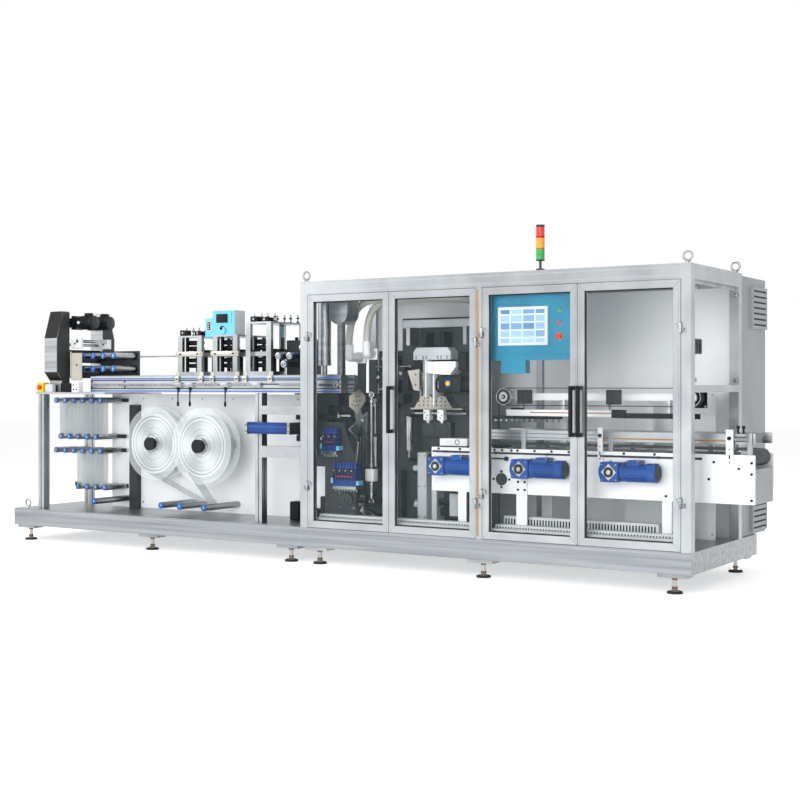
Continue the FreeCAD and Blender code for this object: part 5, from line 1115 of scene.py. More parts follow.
# valve banks: dark blue valves side by side with pale ends, on zinc manifolds
valves = {"upper": (-0.075, 5, 0.730), "lower": (0.015, 8, 0.500), "pitch": 0.024}
for bank, (x0, count, z0) in (("upper", valves["upper"]), ("lower", valves["lower"])):
    body = block((0.001, -0.560, 0.022), (0.0225, -0.497, 0.150), 0.002)
    coil = block((0.003, -0.556, 0.1495), (0.0205, -0.505, 0.180), 0.003)
    places = [(x0 + valves["pitch"] * i, 0, z0) for i in range(count)]
    bodies = copies(body, places) + copies(coil, places)
    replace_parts(done(bank + "_valves", bodies, blueSleeve), "valve_blocks")
    done(bank + "_valve_faces", copies(block((0.0045, -0.5620, 0.060), (0.019, -0.5595, 0.140), 0.0008),
                                       places),
         blackNylon, smooth=0)
    done(bank + "_valve_caps", copies(turned("-Y", (0.01175, -0.5610, 0.126),
                                             [(0, 0.0045), (0.003, 0.0045), (0.004, 0.003)], 12),
                                      places[::2]), yellowPlastic)
    done(bank + "_valve_marks", copies(block((0.005, -0.5630, 0.084), (0.0185, -0.5615, 0.090), 0.0003),
                                       places[1:-1]),
         redPlastic, smooth=0)
    width = count * valves["pitch"]
    feet = [block((x0, -0.565, z0), (x0 + width, -0.495, z0 + 0.0225), 0.002)]
    feet += copies(turned("-Z", (0.0118, -0.535, 0.001),
                          [(0, 0.0065), (0.006, 0.0065), (0.007, 0.0045), (0.016, 0.0045)], 12), places)
    done(bank + "_valve_manifold", feet, zincSteel)
    ends = [block((x0 - 0.016, -0.560, z0 + 0.040), (x0 + 0.0005, -0.500, z0 + 0.075), 0.002),
            block((x0 + width - 0.0005, -0.560, z0 + 0.030), (x0 + width + 0.018, -0.500, z0 + 0.060),
                  0.002)]
    done(bank + "_valve_ends", ends, lightBlueLacquer)
boss = [outlined("Y", [(0.025, 0.360), (0.175, 0.360), (0.160, 0.400), (0.070, 0.490), (0.025, 0.490)],
                 -0.507, -0.495)]
boss += [turned("-Y", (0.100, -0.507, 0.425), [(0, 0.046), (0.012, 0.046), (0.015, 0.040), (0.016, 0.028),
                                               (0.022, 0.026),
                                             (0.022, 0.014), (0.016, 0.013)], 40)]
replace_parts(done("boss_plate", boss, darkPowder), "valve_blocks")
done("boss_plate_bolts", boltHeads("-Y", 0.006, [(0.040, -0.507, 0.375), (0.155, -0.507, 0.372),
                                                 (0.040, -0.507, 0.470)]), zincSteel)
print("valves made")

# the linkage: a dark rocking arm with bright edges, its nickel bracket, rod and strut
link = {"pin": (0.115, 0.960), "arm": [(38, 63), (-121, -62), (-20, -157), (-46, -543), (22, -540),
                                       (27, -157)],
        "face": [(28, 44), (-106, -62), (-12, -153), (-37, -534), (13, -532), (18, -156)],
        "bracket": [(-25, 216), (27, 168), (27, 133), (-36, 45), (-105, 97), (-105, 167)],
        "neck": [(-62, 66), (-12, 74), (6, 8), (-20, -42), (-44, -30)],
        "holes": [(-45, 165), (-22, 168), (-66, 136), (-42, 132), (-18, 136), (-80, 108), (-54, 102),
                  (-30, 104)]}


def fromPin(points):
    return [(link["pin"][0] + x / 1000, link["pin"][1] + z / 1000) for x, z in points]


arm = [outlined("Y", fromPin(link["arm"]), -0.340, -0.328)]
pins = [turned("-Y", (0.115, -0.195, z), [(0, 0.0125), (0.133, 0.0125)], 24) for z in (0.960, 0.440)]
pins += [turned("-Y", (0.115, -0.340, z), [(0, 0.012), (0.010, 0.012), (0.012, 0.009)], 24)
         for z in (0.960, 0.440)]
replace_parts(done("rocking_arm", arm, zincSteel, smooth=0), "link_arms")
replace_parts(done("arm_pins", pins, chromePlate), "link_arms")
done("rocking_arm_face", [outlined("Y", fromPin(link["face"]), -0.3412, -0.3398)], darkPowder, smooth=0)
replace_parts(done("arm_bracket", [outlined("Y", fromPin(link["bracket"]), -0.352, -0.340)], nickelPlate,
                 smooth=0), "link_arms")
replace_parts(done("arm_bracket_neck", [outlined("Y", fromPin(link["neck"]), -0.350, -0.340)], zincSteel,
                 smooth=0), "link_arms")
# dark discs in the bracket's holes: painted shade
done("arm_bracket_holes", dots("-Y", 0.0048, [(x, -0.3518, z) for x, z in fromPin(link["holes"])]),
     blackOxide)
rod = [rodFrom((0.190, -0.345, 0.425), (0.190, -0.345, 1.118), 0.0095)]
for z in (0.406, 1.137):
    rod.append(ring("Y", (0.190, -0.345, z), 0.0165, 0.0075, 32, 12))
    rod.append(turned("-Y", (0.190, -0.335, z), [(0, 0.009), (0.020, 0.009), (0.024, 0.006)], 20))
    rod.append(turned("Y", (0.190, -0.340, z), [(0, 0.010), (0.145, 0.010)], 20))
for z in (0.450, 0.520, 0.650, 1.085):
    rod.append(turned("Z", (0.190, -0.345, z), [(0, 0.0135), (0.001, 0.0150), (0.013, 0.0150),
                                                (0.014, 0.0135)], 6))
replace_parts(done("connecting_rod", rod, chromePlate), "link_arms")
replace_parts(done("rod_body", [block((0.155, -0.375, 0.546), (0.225, -0.315, 0.630), 0.005, 2),
                             block((0.165, -0.3765, 0.556), (0.215, -0.3745, 0.620), 0.001)], whitePowder),
            "link_arms")
strut = [rodFrom((0.038, -0.358, 0.410), (0.090, -0.358, 0.815), 0.009),
         ring("Y", (0.036, -0.358, 0.399), 0.0175, 0.0065, 32, 12),
         turned("Y", (0.036, -0.366, 0.399), [(0, 0.010), (0.171, 0.010)], 20),
         block((0.077, -0.364, 0.811), (0.113, -0.340, 0.847), 0.004, 2),
         outlined("Y", [(0.086, 0.845), (0.104, 0.845), (0.130, 0.890), (0.112, 0.918), (0.090, 0.880)],
                  -0.360, -0.346)]
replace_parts(done("leaning_strut", strut, chromePlate), "link_arms")
done("strut_eye", [ring("Y", (0.107, -0.3605, 0.886), 0.010, 0.0035, 24, 8)], blackOxide)
done("strut_ring_core", [turned("-Y", (0.036, -0.360, 0.399),
                                [(0, 0.0105), (0.006, 0.0105), (0.008, 0.006)], 20)], blackOxide)
tilt = leaned(block((0.085, -0.330, 0.300), (0.205, -0.290, 0.345), 0.004, 2), "Y", 32,
              (0.145, -0.310, 0.322))
done("tilted_cylinder", [tilt, block((0.150, -0.295, 0.290), (0.180, -0.195, 0.320), 0.003)], nickelPlate)
done("yellow_buffer", [turned("-X", (0.060, -0.420, 0.325),
                              [(0, 0.020), (0.002, 0.022), (0.048, 0.022), (0.050, 0.020)], 28)],
     yellowPlastic)
done("buffer_rail", [block((-0.093, -0.440, 0.290), (0.070, -0.400, 0.305), 0.002),
                     block((-0.093, -0.491, 0.285), (-0.060, -0.400, 0.305), 0.002)], darkPowder)
# bars and blocks behind the linkage, under the table's end
dark = plates([((-0.095, -0.300, 1.010), (0.140, -0.195, 1.055)),
               ((-0.040, -0.330, 1.062), (0.045, -0.195, 1.140)),
               ((-0.090, -0.350, 0.955), (0.020, -0.300, 0.975)),
               ((0.212, -0.245, 0.300), (0.226, -0.195, 1.145)),
               ((0.300, -0.245, 0.300), (0.314, -0.195, 1.145)),
               ((0.212, -0.315, 1.050), (0.330, -0.195, 1.075)),
               ((0.330, -0.260, 0.300), (0.380, -0.195, 0.620)),
               ((0.330, -0.300, 1.080), (0.420, -0.195, 1.145))], 0.003)
dark += plates([((0.226, -0.262, 0.320 + 0.085 * i), (0.300, -0.215, 0.352 + 0.085 * i))
                for i in range(9)], 0.003)
done("dark_guides", dark, blackOxide)
bright = [turned("X", (-0.093, -0.320, 0.988), [(0, 0.012), (0.100, 0.012)], 20),
          block((-0.093, -0.345, 0.972), (-0.080, -0.195, 1.010), 0.002)]
bright += [turned("-Y", (x, -0.262, 0.336 + 0.085 * i), [(0, 0.0085), (0.010, 0.0085), (0.012, 0.006)], 16)
           for i in range(9) for x in (0.243, 0.283)]
done("guide_pins", bright, chromePlate)
print("linkage made")

# push cylinders: steel barrels, dark end caps, forks
barrels, caps, forks = [], [], []
for x, low, top in ((0.075, 0.390, 0.640), (0.175, 0.620, 0.870), (0.275, 0.390, 0.640)):
    barrels.append(turned("Z", (x, -0.275, low), [(0, 0.0215), (top - low, 0.0215)], 32))
    barrels.append(turned("Z", (x, -0.275, top), [(0, 0.008), (0.220, 0.008)], 20))
    for z in (low, top - 0.024):
        caps.append(block((x - 0.024, -0.299, z), (x + 0.024, -0.251, z + 0.024), 0.003, 2))
    forks.append(block((x - 0.014, -0.289, top + 0.185), (x + 0.014, -0.261, top + 0.220), 0.003, 2))
    for z in (low - 0.020, top + 0.220):
        forks.append(block((x - 0.024, -0.299, z), (x + 0.024, -0.195, z + 0.020), 0.002))
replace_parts(done("push_barrels", barrels, chromePlate), "push_rods")
done("push_caps", caps, darkPowder)
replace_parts(done("push_forks", forks, zincSteel), "push_rods")

# folding head: carrier, beam, cover, servo, gripper with its nozzles, tall plate
carrier = [block((0.345, -0.195, 1.150), (0.995, -0.175, 1.660), 0.002),
           turned("X", (0.605, -0.251, 0.694), [(0, 0.050), (0.004, 0.056), (0.170, 0.056),
                                                (0.180, 0.050)], 48),
           block((0.785, -0.315, 0.330), (0.925, -0.195, 0.490), 0.004, 2)]
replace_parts(done("head_carrier", carrier, darkPowder), "folding_head")
beam = [block((0.385, -0.255, 1.590), (0.965, -0.195, 1.645), 0.002)]
beam += plates([((0.388, -0.2562, z), (0.962, -0.2545, z + 0.004)) for z in (1.602, 1.628)], 0.0004)
beam += [block((0.440, -0.300, 1.470), (0.470, -0.195, 1.592), 0.003),
         block((0.880, -0.300, 1.470), (0.910, -0.195, 1.592), 0.003)]
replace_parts(done("head_beam", beam, anodisedBeam), "folding_head")
hood = [outlined("Y", [(0.495, 1.375), (0.785, 1.375), (0.785, 1.425), (0.760, 1.455), (0.520, 1.455),
                       (0.495, 1.425)], -0.295, -0.195),
        block((0.500, -0.300, 1.372), (0.780, -0.293, 1.404), 0.002)]
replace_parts(done("head_hood", hood, greyPowder, smooth=20), "folding_head")
# dark discs in the hood's holes: painted shade
done("head_hood_holes", dots("-Y", 0.005, [(x, -0.3000, z)
                                           for x in (0.520, 0.575, 0.600, 0.690, 0.715, 0.760)
                                           for z in (1.382, 1.394)]), blackOxide)
cover = [outlined("Y", [(0.610, 1.282), (0.790, 1.270), (0.835, 1.325), (0.835, 1.360), (0.610, 1.360)],
                  -0.315, -0.195),
         block((0.598, -0.320, 1.120), (0.612, -0.195, 1.372), 0.002),
         block((0.660, -0.318, 1.060), (0.672, -0.195, 1.275), 0.002)]
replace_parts(done("servo_cover", cover, whitePowder, smooth=0), "folding_head")
done("head_black_blocks", plates([((0.690, -0.300, 1.360), (0.750, -0.195, 1.376)),
                                  ((0.620, -0.260, 1.360), (0.680, -0.195, 1.376)),
     ((0.470, -0.260, 1.300), (0.530, -0.195, 1.370)), ((0.560, -0.300, 1.455), (0.600, -0.200, 1.560)),
     ((0.700, -0.300, 1.455), (0.740, -0.200, 1.560)), ((0.840, -0.290, 1.300), (0.900, -0.195, 1.420)),
     ((0.400, -0.290, 1.160), (0.450, -0.195, 1.290))], 0.004), blackNylon)
servo = [block((0.705, -0.3225, 1.154), (0.875, -0.195, 1.260), 0.006, 2),
         turned("X", (0.874, -0.260, 1.207), [(0, 0.046), (0.056, 0.046), (0.061, 0.040)], 40)]
servo += [turned("X", (0.684 + 0.010 * i, -0.260, 1.207),
                 [(0, 0.046), (0.001, 0.050), (0.004, 0.050), (0.005, 0.046)], 40)
          for i in range(2)]
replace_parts(done("head_servo", servo, blackNylon), "folding_head")
done("head_servo_fins", plates([((0.812 + 0.009 * i, -0.3250, 1.160),
                                 (0.8155 + 0.009 * i, -0.3220, 1.255)) for i in range(7)], 0.0006),
     darkPowder, smooth=0)
done("head_servo_lid", [block((0.762, -0.3290, 1.185), (0.806, -0.3215, 1.243), 0.002)], blueSleeve)
done("head_servo_cap", [turned("-Y", (0.784, -0.3285, 1.214), [(0, 0.017), (0.006, 0.017), (0.008, 0.013)],
                               28)], yellowPlastic)
done("head_servo_rings", [turned("X", (x, -0.260, 1.207),
                                 [(0, 0.052), (0.001, 0.054), (0.006, 0.054), (0.007, 0.052)], 40)
                          for x in (0.672, 0.695)], chromePlate)
grip = [block((0.485, -0.315, 1.040), (0.885, -0.195, 1.050), 0.0015),
        outlined("Y", [(0.505, 1.050), (0.800, 1.050), (0.745, 1.128), (0.700, 1.128), (0.672, 1.095),
                       (0.620, 1.140), (0.560, 1.128)],
                 -0.300, -0.195)]
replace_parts(done("gripper_block", grip, nickelPlate, smooth=0), "folding_head")
# dark discs in the gripper's holes: painted shade
done("gripper_holes", dots("-Y", 0.0055, [(0.545 + 0.034 * i, -0.2995, z) for i in range(7)
                                          for z in (1.068, 1.094)]
     + [(0.585, -0.2995, 1.116), (0.612, -0.2995, 1.116), (0.720, -0.2995, 1.114)]), blackOxide)
nozzles = plates([((x - 0.024, -0.305, 0.968), (x + 0.024, -0.255, 1.0405)) for x in (0.602, 0.710)], 0.003)
nozzles += [turned("-Z", (x, -0.280, 0.969), [(0, 0.014), (0.010, 0.014), (0.012, 0.007), (0.022, 0.005)],
                   20) for x in (0.602, 0.710)]
done("nozzles", nozzles, whitePowder)
# dark discs in the nozzles' holes: painted shade
done("nozzle_holes", dots("-Y", 0.005, [(x + dx, -0.3045, z) for x in (0.602, 0.710) for dx,
                                        z in ((-0.010, 1.020), (0.010, 1.000), (0.0, 0.982))]),
     blackOxide)
done("head_steel_rods", [turned("X", (0.490, -0.290, z), [(0, 0.010), (0.440, 0.010)], 20)
                         for z in (1.015,)]
     + [turned("Z", (x, -0.240, 1.060), [(0, 0.010), (0.312, 0.010)], 20) for x in (0.520, 0.545)]
     + [turned("Z", (0.452, -0.275, 0.760), [(0, 0.026), (0.003, 0.028), (0.232, 0.028), (0.235, 0.022)],
               32),
        turned("Z", (0.452, -0.275, 0.700), [(0, 0.010), (0.062, 0.010)], 20)], chromePlate)
done("head_rod_mounts", plates([((0.425, -0.300, 0.985), (0.480, -0.195, 1.010)),
                                ((0.425, -0.300, 0.690), (0.480, -0.195, 0.712)),
     ((0.905, -0.300, 1.000), (0.930, -0.195, 1.040)), ((0.490, -0.300, 1.000), (0.510, -0.195, 1.040)),
     ((0.505, -0.260, 1.370), (0.560, -0.195, 1.376))], 0.003), blackOxide)
done("gusset_plate", [outlined("Y", [(0.452, 1.300), (0.545, 1.310), (0.545, 1.164), (0.500, 1.170)],
                               -0.300, -0.292),
                      block((0.520, -0.292, 1.180), (0.540, -0.195, 1.290), 0.002)], nickelPlate, smooth=0)
# dark discs in the gusset's holes: painted shade
done("gusset_holes", dots("-Y", 0.006, [(0.515, -0.2995, 1.275), (0.515, -0.2995, 1.205)]), blackOxide)
tall = [block((0.535, -0.307, 0.300), (0.605, -0.195, 0.750), 0.002),
        block((0.640, -0.300, 0.245), (0.680, -0.195, 0.520), 0.002)]
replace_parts(done("tall_plate", tall, greyPowder), "folding_head")
done("tall_plate_screws", boltHeads("-Y", 0.006, [(x, -0.307, z) for x in (0.548, 0.592)
                                                  for z in (0.320, 0.525, 0.730)]), zincSteel)
drums = [turned("-X", (0.535, -0.250, 0.640), [(0, 0.038), (0.045, 0.038), (0.050, 0.034), (0.060, 0.030)],
                36),
         turned("-X", (0.535, -0.250, 0.390), [(0, 0.055), (0.030, 0.055), (0.036, 0.048), (0.044, 0.030)],
                40)]
done("plate_drums", drums, zincSteel)
box = [block((0.790, -0.318, 0.336), (0.920, -0.314, 0.484), 0.001)]
done("gear_box_lid", box, cabinetGrey, smooth=0)
done("gear_box_plugs", plates([((0.690, -0.300, 0.400), (0.785, -0.250, 0.440)),
                               ((0.700, -0.290, 0.330), (0.785, -0.195, 0.385))], 0.004)
     + [turned("-Y", (0.705 + 0.022 * i, -0.300, 0.420), [(0, 0.008), (0.006, 0.008), (0.008, 0.005)], 14)
        for i in range(4)], blackNylon)
done("lower_cover", plates([((0.715, -0.320, 0.800), (0.925, -0.195, 0.850)),
                            ((0.700, -0.300, 0.735), (0.925, -0.195, 0.790))], 0.003),
     whitePowder)
done("lower_cover_rail", plates([((0.715, -0.322, 0.792), (0.925, -0.300, 0.799))], 0.001), blackNylon)
done("lower_cover_ring", [ring("-Y", (0.850, -0.3205, 0.826), 0.016, 0.002, 28, 8)], darkPowder)
done("round_plates", [turned("Y", (0.590, -0.255, 0.905), [(0, 0.050), (0.003, 0.052), (0.060, 0.052)], 40),
                      turned("Y", (0.690, -0.255, 0.905), [(0, 0.050), (0.003, 0.052), (0.060, 0.052)], 40),
                      block((0.590, -0.250, 0.853), (0.760, -0.195, 0.957), 0.004)], darkPowder)
print("folding head made")

# conveyor, motors, overhead belt and ducts

# the outfeed conveyor: closed side plates with bolts, a hub cover, tie rods, legs and brackets
sides = plates([((0.745, -0.475, 0.515), (2.895, -0.463, 0.800)),
                ((0.745, -0.137, 0.515), (2.895, -0.125, 0.800)),
                ((1.090, -0.463, 0.515), (1.102, -0.137, 0.718))], 0.002)
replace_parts(done("conveyor_side_plates", sides, whitePowder), "conveyor_frame")
legs = [block((x, y, 0.245), (x + 0.060, y + 0.012, 0.515), 0.001) for x in (0.945, 2.335)
        for y in (-0.475, -0.137)]
legs += plates([((1.372, -0.487, 0.245), (1.447, -0.475, 0.612)),
                ((1.372, -0.125, 0.245), (1.447, -0.113, 0.612)),
                ((1.360, -0.493, 0.2455), (1.459, -0.463, 0.2530))], 0.0015)
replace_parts(done("conveyor_legs", legs, whitePowder), "conveyor_frame")
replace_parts(done("conveyor_end_plate", [block((2.883, -0.463, 0.515), (2.8945, -0.137, 0.718), 0.002)],
                 cabinetGrey, smooth=0), "conveyor_frame")
spots = [(x, -0.475, 0.790) for x in (0.800, 0.960, 1.212, 1.267, 1.333, 1.376, 1.496, 1.613, 1.730, 2.093,
                                      2.288, 2.480)]
spots += [(x, -0.487, z) for x in (1.386, 1.433) for z in (0.545, 0.594)]
spots += [(1.262 + a, -0.475, 0.606 + b) for a, b in ((0.056, 0), (-0.056, 0), (0, 0.050), (0, -0.050))]
spots += [(2.652, -0.475, 0.755), (2.622, -0.475, 0.655), (2.800, -0.475, 0.720), (2.875, -0.475, 0.755),
          (2.875, -0.475, 0.690), (2.875, -0.475, 0.540), (2.360, -0.475, 0.545)]
done("plate_bolts", boltHeads("-Y", 0.0078, spots), blackOxide)
done("hub_cover", [turned("-Y", (1.262, -0.475, 0.606),
                          [(0, 0.040), (0.002, 0.040), (0.003, 0.036), (0.004, 0.012),
                                                        (0.007, 0.010)], 40)], darkPowder)
ties = []
for x in (1.187, 1.482, 2.010):
    ties.append(turned("X", (x, -0.487, 0.737), [(0, 0.0035), (0.004, 0.005), (0.100, 0.005),
                                                 (0.103, 0.011), (0.108, 0.014),
                                                (0.122, 0.014), (0.128, 0.010)], 20))
    ties.append(turned("-Y", (x, -0.475, 0.737), [(0, 0.009), (0.012, 0.009), (0.016, 0.006)], 16))
    ties.append(turned("-Y", (x + 0.115, -0.475, 0.737), [(0, 0.007), (0.012, 0.007)], 16))
done("tie_rods", ties, blackOxide)
hold = []
for x, w in ((1.925, 0.034), (2.726, 0.044)):
    hold.append(block((x, -0.487, 0.735), (x + w, -0.475, 0.945), 0.002))
done("rail_brackets", hold, whitePowder)
# the flat dark strips in the brackets' slots are painted shade
done("rail_bracket_slots", plates([((x + w / 2 - 0.004, -0.4880, z), (x + w / 2 + 0.004, -0.4865, z + h))
                                   for x, w in
     ((1.925, 0.034), (2.726, 0.044)) for z, h in ((0.750, 0.010), (0.775, 0.026), (0.826, 0.008))], 0.0005)
     + [turned("-Y", (x + w / 2, -0.487, 0.895), [(0, 0.012), (0.008, 0.012), (0.010, 0.008)], 24) for x,
        w in
        ((1.925, 0.034), (2.726, 0.044))], blackOxide)
ends = [turned("X", (2.772, -0.476, 0.890), [(0, 0.012), (0.003, 0.015), (0.080, 0.015), (0.084, 0.011),
                                             (0.098, 0.005)], 28),
        block((2.852, -0.490, 0.800), (2.880, -0.465, 0.925), 0.003, 2),
        block((2.760, -0.463, 0.800), (2.772, -0.450, 0.905), 0.002)]
ends += [block((2.834, y, 0.858), (2.892, y + 0.013, 0.922), 0.003, 2) for y in (-0.463, -0.150)]
done("outfeed_end_blocks", ends, zincSteel)
done("outfeed_latches", [turned("Z", (x, -0.4565, 0.920),
                                [(0, 0.006), (0.030, 0.006), (0.032, 0.010), (0.044, 0.010),
                                                         (0.048, 0.006)], 18) for x in (2.790, 2.822)],
     blackNylon)
stripe = plates([((1.945, -0.4642, 0.874), (2.720, -0.4628, 0.883)),
                 ((2.775, -0.4642, 0.874), (2.832, -0.4628, 0.883))], 0.0004)
stripe += plates([((1.204, -0.6960, 0.262), (1.216, -0.6948, 1.795))], 0.0004)
done("brown_slides", stripe, brownSlide, smooth=0)
# dark strips along the rails' grooves: painted shade
grooves = plates([((1.152, -0.4640, z), (1.920, -0.4628, z + 0.0035)) for z in (0.872, 0.897)]
                 + [((1.152, -0.1380, z), (2.833, -0.1366, z + 0.0035)) for z in (0.872, 0.897)], 0.0003)
done("rail_grooves", grooves, darkPowder, smooth=0)

# the belt's loop, at the place of its node
belt = {"left": 1.150, "right": 2.835, "centre": 0.780, "radius": 0.050, "skin": 0.005}
bpy.ops.mesh.primitive_cylinder_add(vertices=64, radius=belt["radius"], depth=0.300,
                                    location=(belt["left"], -0.300, belt["centre"]), rotation=turnTo["Y"])
loop = settle(bpy.context.object)
for corner in loop.data.vertices:
    if corner.co.x > belt["left"] + 0.0005:
        corner.co.x += belt["right"] - belt["left"]
pick(loop)
bpy.ops.object.mode_set(mode='EDIT')
bpy.ops.mesh.select_all(action='DESELECT')
bpy.ops.mesh.select_mode(type='FACE')
bpy.ops.object.mode_set(mode='OBJECT')
for face in loop.data.polygons:
    face.select = abs(face.normal.y) > 0.9
bpy.ops.object.mode_set(mode='EDIT')
bpy.ops.mesh.delete(type='FACE')
bpy.ops.mesh.select_all(action='SELECT')
bpy.ops.mesh.normals_make_consistent(inside=False)
bpy.ops.object.mode_set(mode='OBJECT')
wall = loop.modifiers.new("wall", 'SOLIDIFY')
wall.thickness = belt["skin"]
wall.offset = -1
pick(loop)
bpy.ops.object.modifier_apply(modifier=wall.name)
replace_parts(done("outfeed_belt", [loop], greenBelt, smooth=30), "conveyor_belt")
print("conveyor made")

# geared motors: gearbox with its flange, finned body, terminal box, fan cowl with a round grille
motors = {"left": (0.785, 1.385, 1.985), "y": -0.535, "z": 0.682}
boxes, flanges, rings, cores, grilles, vanes, boltsAt = [], [], [], [], [], [], []
for x0 in motors["left"]:
    y, z = motors["y"], motors["z"]
    boxes.append(block((x0, -0.595, 0.622), (x0 + 0.120, -0.475, 0.742), 0.010, 3))
    boxes.append(turned("-X", (x0 + 0.002, y, z), [(0, 0.046), (0.014, 0.046), (0.016, 0.042)], 40))
    boxes.append(turned("X", (x0 + 0.105, y, z), [(0, 0.042), (0.015, 0.046), (0.022, 0.056),
                                                  (0.034, 0.056), (0.040, 0.051),
                                                 (0.183, 0.051), (0.186, 0.058), (0.240, 0.058),
                                                  (0.245, 0.052)], 48))
    boxes.append(block((x0 + 0.166, -0.575, 0.722), (x0 + 0.244, -0.495, 0.748), 0.004, 2))
    boxes.append(block((x0 + 0.162, -0.578, 0.744), (x0 + 0.248, -0.492, 0.755), 0.003, 2))
    for i in range(26):  # cooling fins along the body
        turn = 2 * math.pi * i / 26
        if 0.9 < turn < 2.24:
            continue
        fin = block((x0 + 0.148, y + 0.049, z - 0.0013), (x0 + 0.288, y + 0.0570, z + 0.0013), 0.0004)
        vanes.append(leaned(fin, "X", math.degrees(turn), (x0, y, z)))
    tile = block((x0 + 0.025, -0.599, 0.647), (x0 + 0.095, -0.594, 0.717), 0.002)
    flanges.append(leaned(tile, "Y", 45, (x0 + 0.060, -0.597, 0.682)))
    rings.append(turned("-Y", (x0 + 0.060, -0.598, z), [(0, 0.031), (0.003, 0.031), (0.004, 0.028)], 36))
    cores.append(turned("-Y", (x0 + 0.060, -0.601, z), [(0, 0.0135), (0.004, 0.0135), (0.005, 0.010),
                                                        (0.006, 0.009)], 24))
    grilles.append(turned("X", (x0 + 0.3495, y, z), [(0, 0.049), (0.002, 0.049), (0.003, 0.046),
                                                     (0.0035, 0.012), (0.006, 0.010)], 40))
    for radius in (0.042, 0.034, 0.026, 0.018):
        rings.append(ring("X", (x0 + 0.3525, y, z), radius, 0.0016, 32, 6))
    boltsAt += [(x0 + a, -0.578, 0.7495) for a in (0.170, 0.240)]
    boltsAt += [(x0 + a, -0.595, b) for a, b in ((0.014, 0.636), (0.014, 0.728), (0.106, 0.636),
                                                 (0.106, 0.728))]
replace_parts(done("motor_bodies", boxes, blueEnamel), "geared_motors")
done("motor_fins", vanes, blueEnamel, smooth=0)
done("motor_flanges", flanges, nickelPlate, smooth=0)
done("motor_rings", rings, blackOxide)
done("motor_cores", cores, nickelPlate)
done("motor_grilles", grilles, darkPowder)
done("motor_screws", boltHeads("-Y", 0.0045, boltsAt), zincSteel)
print("motors made")

# overhead belt: wheels, its lower slide, brackets; the motor plate at the outfeed
wheels, hubs = [], []
for x in (1.195, 2.465):
    wheels.append(turned("-Y", (x, -0.266, 1.128), [(0, 0.0515), (0.058, 0.0515), (0.060, 0.048),
                                                    (0.062, 0.034), (0.057, 0.032),
                                                  (0.057, 0.016), (0.068, 0.014)], 48))
    hubs.append(ring("-Y", (x, -0.3275, 1.128), 0.030, 0.0022, 36, 8))
    hubs.append(turned("-Y", (x, -0.3325, 1.128), [(0, 0.009), (0.005, 0.009), (0.006, 0.006)], 20))
done("belt_wheels", wheels, blackNylon)
done("belt_wheel_rings", hubs, zincSteel)
under = plates([((1.205, -0.302, 1.004), (1.950, -0.288, 1.046)),
                ((1.300, -0.288, 1.008), (1.312, -0.241, 1.110)),
                ((1.600, -0.288, 1.008), (1.612, -0.241, 1.110)),
                ((1.900, -0.288, 1.008), (1.912, -0.241, 1.110)),
                ((2.300, -0.288, 1.008), (2.312, -0.241, 1.110))], 0.001)
done("hold_down_rail", under, whitePowder, smooth=0)
done("hold_down_slide", plates([((1.375, -0.3032, 1.024), (1.948, -0.3018, 1.031))], 0.0003), brownSlide,
     smooth=0)
black = plates([((1.950, -0.306, 0.998), (2.505, -0.286, 1.030)),
                ((1.940, -0.312, 1.000), (2.030, -0.284, 1.050)),
                ((1.110, -0.310, 0.986), (1.600, -0.284, 1.005)),
                ((2.395, -0.262, 1.064), (2.535, -0.253, 1.194)),
                ((1.240, -0.310, 1.046), (1.330, -0.286, 1.056))], 0.002)
done("hold_down_black_rail", black, blackNylon)
done("hold_down_rollers", [row(turned("-Y", (1.130, -0.286, 0.976),
                                      [(0, 0.010), (0.022, 0.010), (0.024, 0.008)], 14),
                               12, (0.040, 0, 0))], zincSteel)
done("belt_blocks", plates([((x, -0.338, 1.082), (x + 0.070, -0.253, 1.174)) for x in (1.300, 1.915)],
                           0.003), darkPowder)
# dark strips in the blocks' slots: painted shade
done("belt_block_slots", plates([((x + 0.012 + 0.017 * i, -0.3390, 1.092),
                                  (x + 0.019 + 0.017 * i, -0.3375, 1.164))
                                 for x in (1.300, 1.915) for i in range(3)], 0.0004), blackOxide, smooth=0)
done("outfeed_motor_bolts", boltHeads("-Y", 0.006, [(x, -0.262, z) for x in (2.404, 2.526)
                                                    for z in (1.073, 1.185)]), zincSteel)

# slotted sides of the cable ducts, their gaps drawn as dark strips of painted shade, and the lids over them
fingers = []
for x0, x1 in ((-0.095, 1.140), (1.260, 2.495)):
    for y, low, high in ((-0.625, 0.250, 0.294), (-0.555, 0.262, 0.314)):
        count = int((x1 - x0 - 0.020) / 0.020)
        slot = block((x0 + 0.010, y - 0.0008, low), (x0 + 0.019, y + 0.0008, high))
        fingers.append(row(slot, count, (0.020, 0, 0)))
done("duct_slots", fingers, blackNylon, smooth=0)
lids = [block((x0 + 0.0005, y0 - 0.0015, high - 0.008), (x1 - 0.0005, y0 + 0.0595, high + 0.0015), 0.001)
        for x0, x1 in ((-0.095, 1.140), (1.260, 2.495)) for y0, high in ((-0.625, 0.305), (-0.555, 0.325))]
done("duct_lids", lids, greyPlastic)
# a taller slotted duct behind them, standing on the deck
tall = {"left": 1.260, "right": 2.300, "front": -0.440, "top": 0.372}
done("tall_duct", [block((tall["left"], tall["front"], 0.245),
                         (tall["right"], -0.380, tall["top"] - 0.006), 0.001),
                   block((tall["left"] - 0.001, tall["front"] - 0.0015, tall["top"] - 0.010),
                         (tall["right"] + 0.001, -0.3785, tall["top"]), 0.001)], greyPlastic, smooth=0)
# the tall duct's gaps are dark strips of painted shade
done("tall_duct_slots", [row(block((tall["left"] + 0.012, tall["front"] - 0.0008, low),
                                   (tall["left"] + 0.0215, tall["front"] + 0.0008, high)),
                             51, (0.020, 0, 0)) for low, high in ((0.252, 0.300), (0.308, 0.356))],
     blackNylon, smooth=0)
print("ducts made")

# underside, upper gear and back

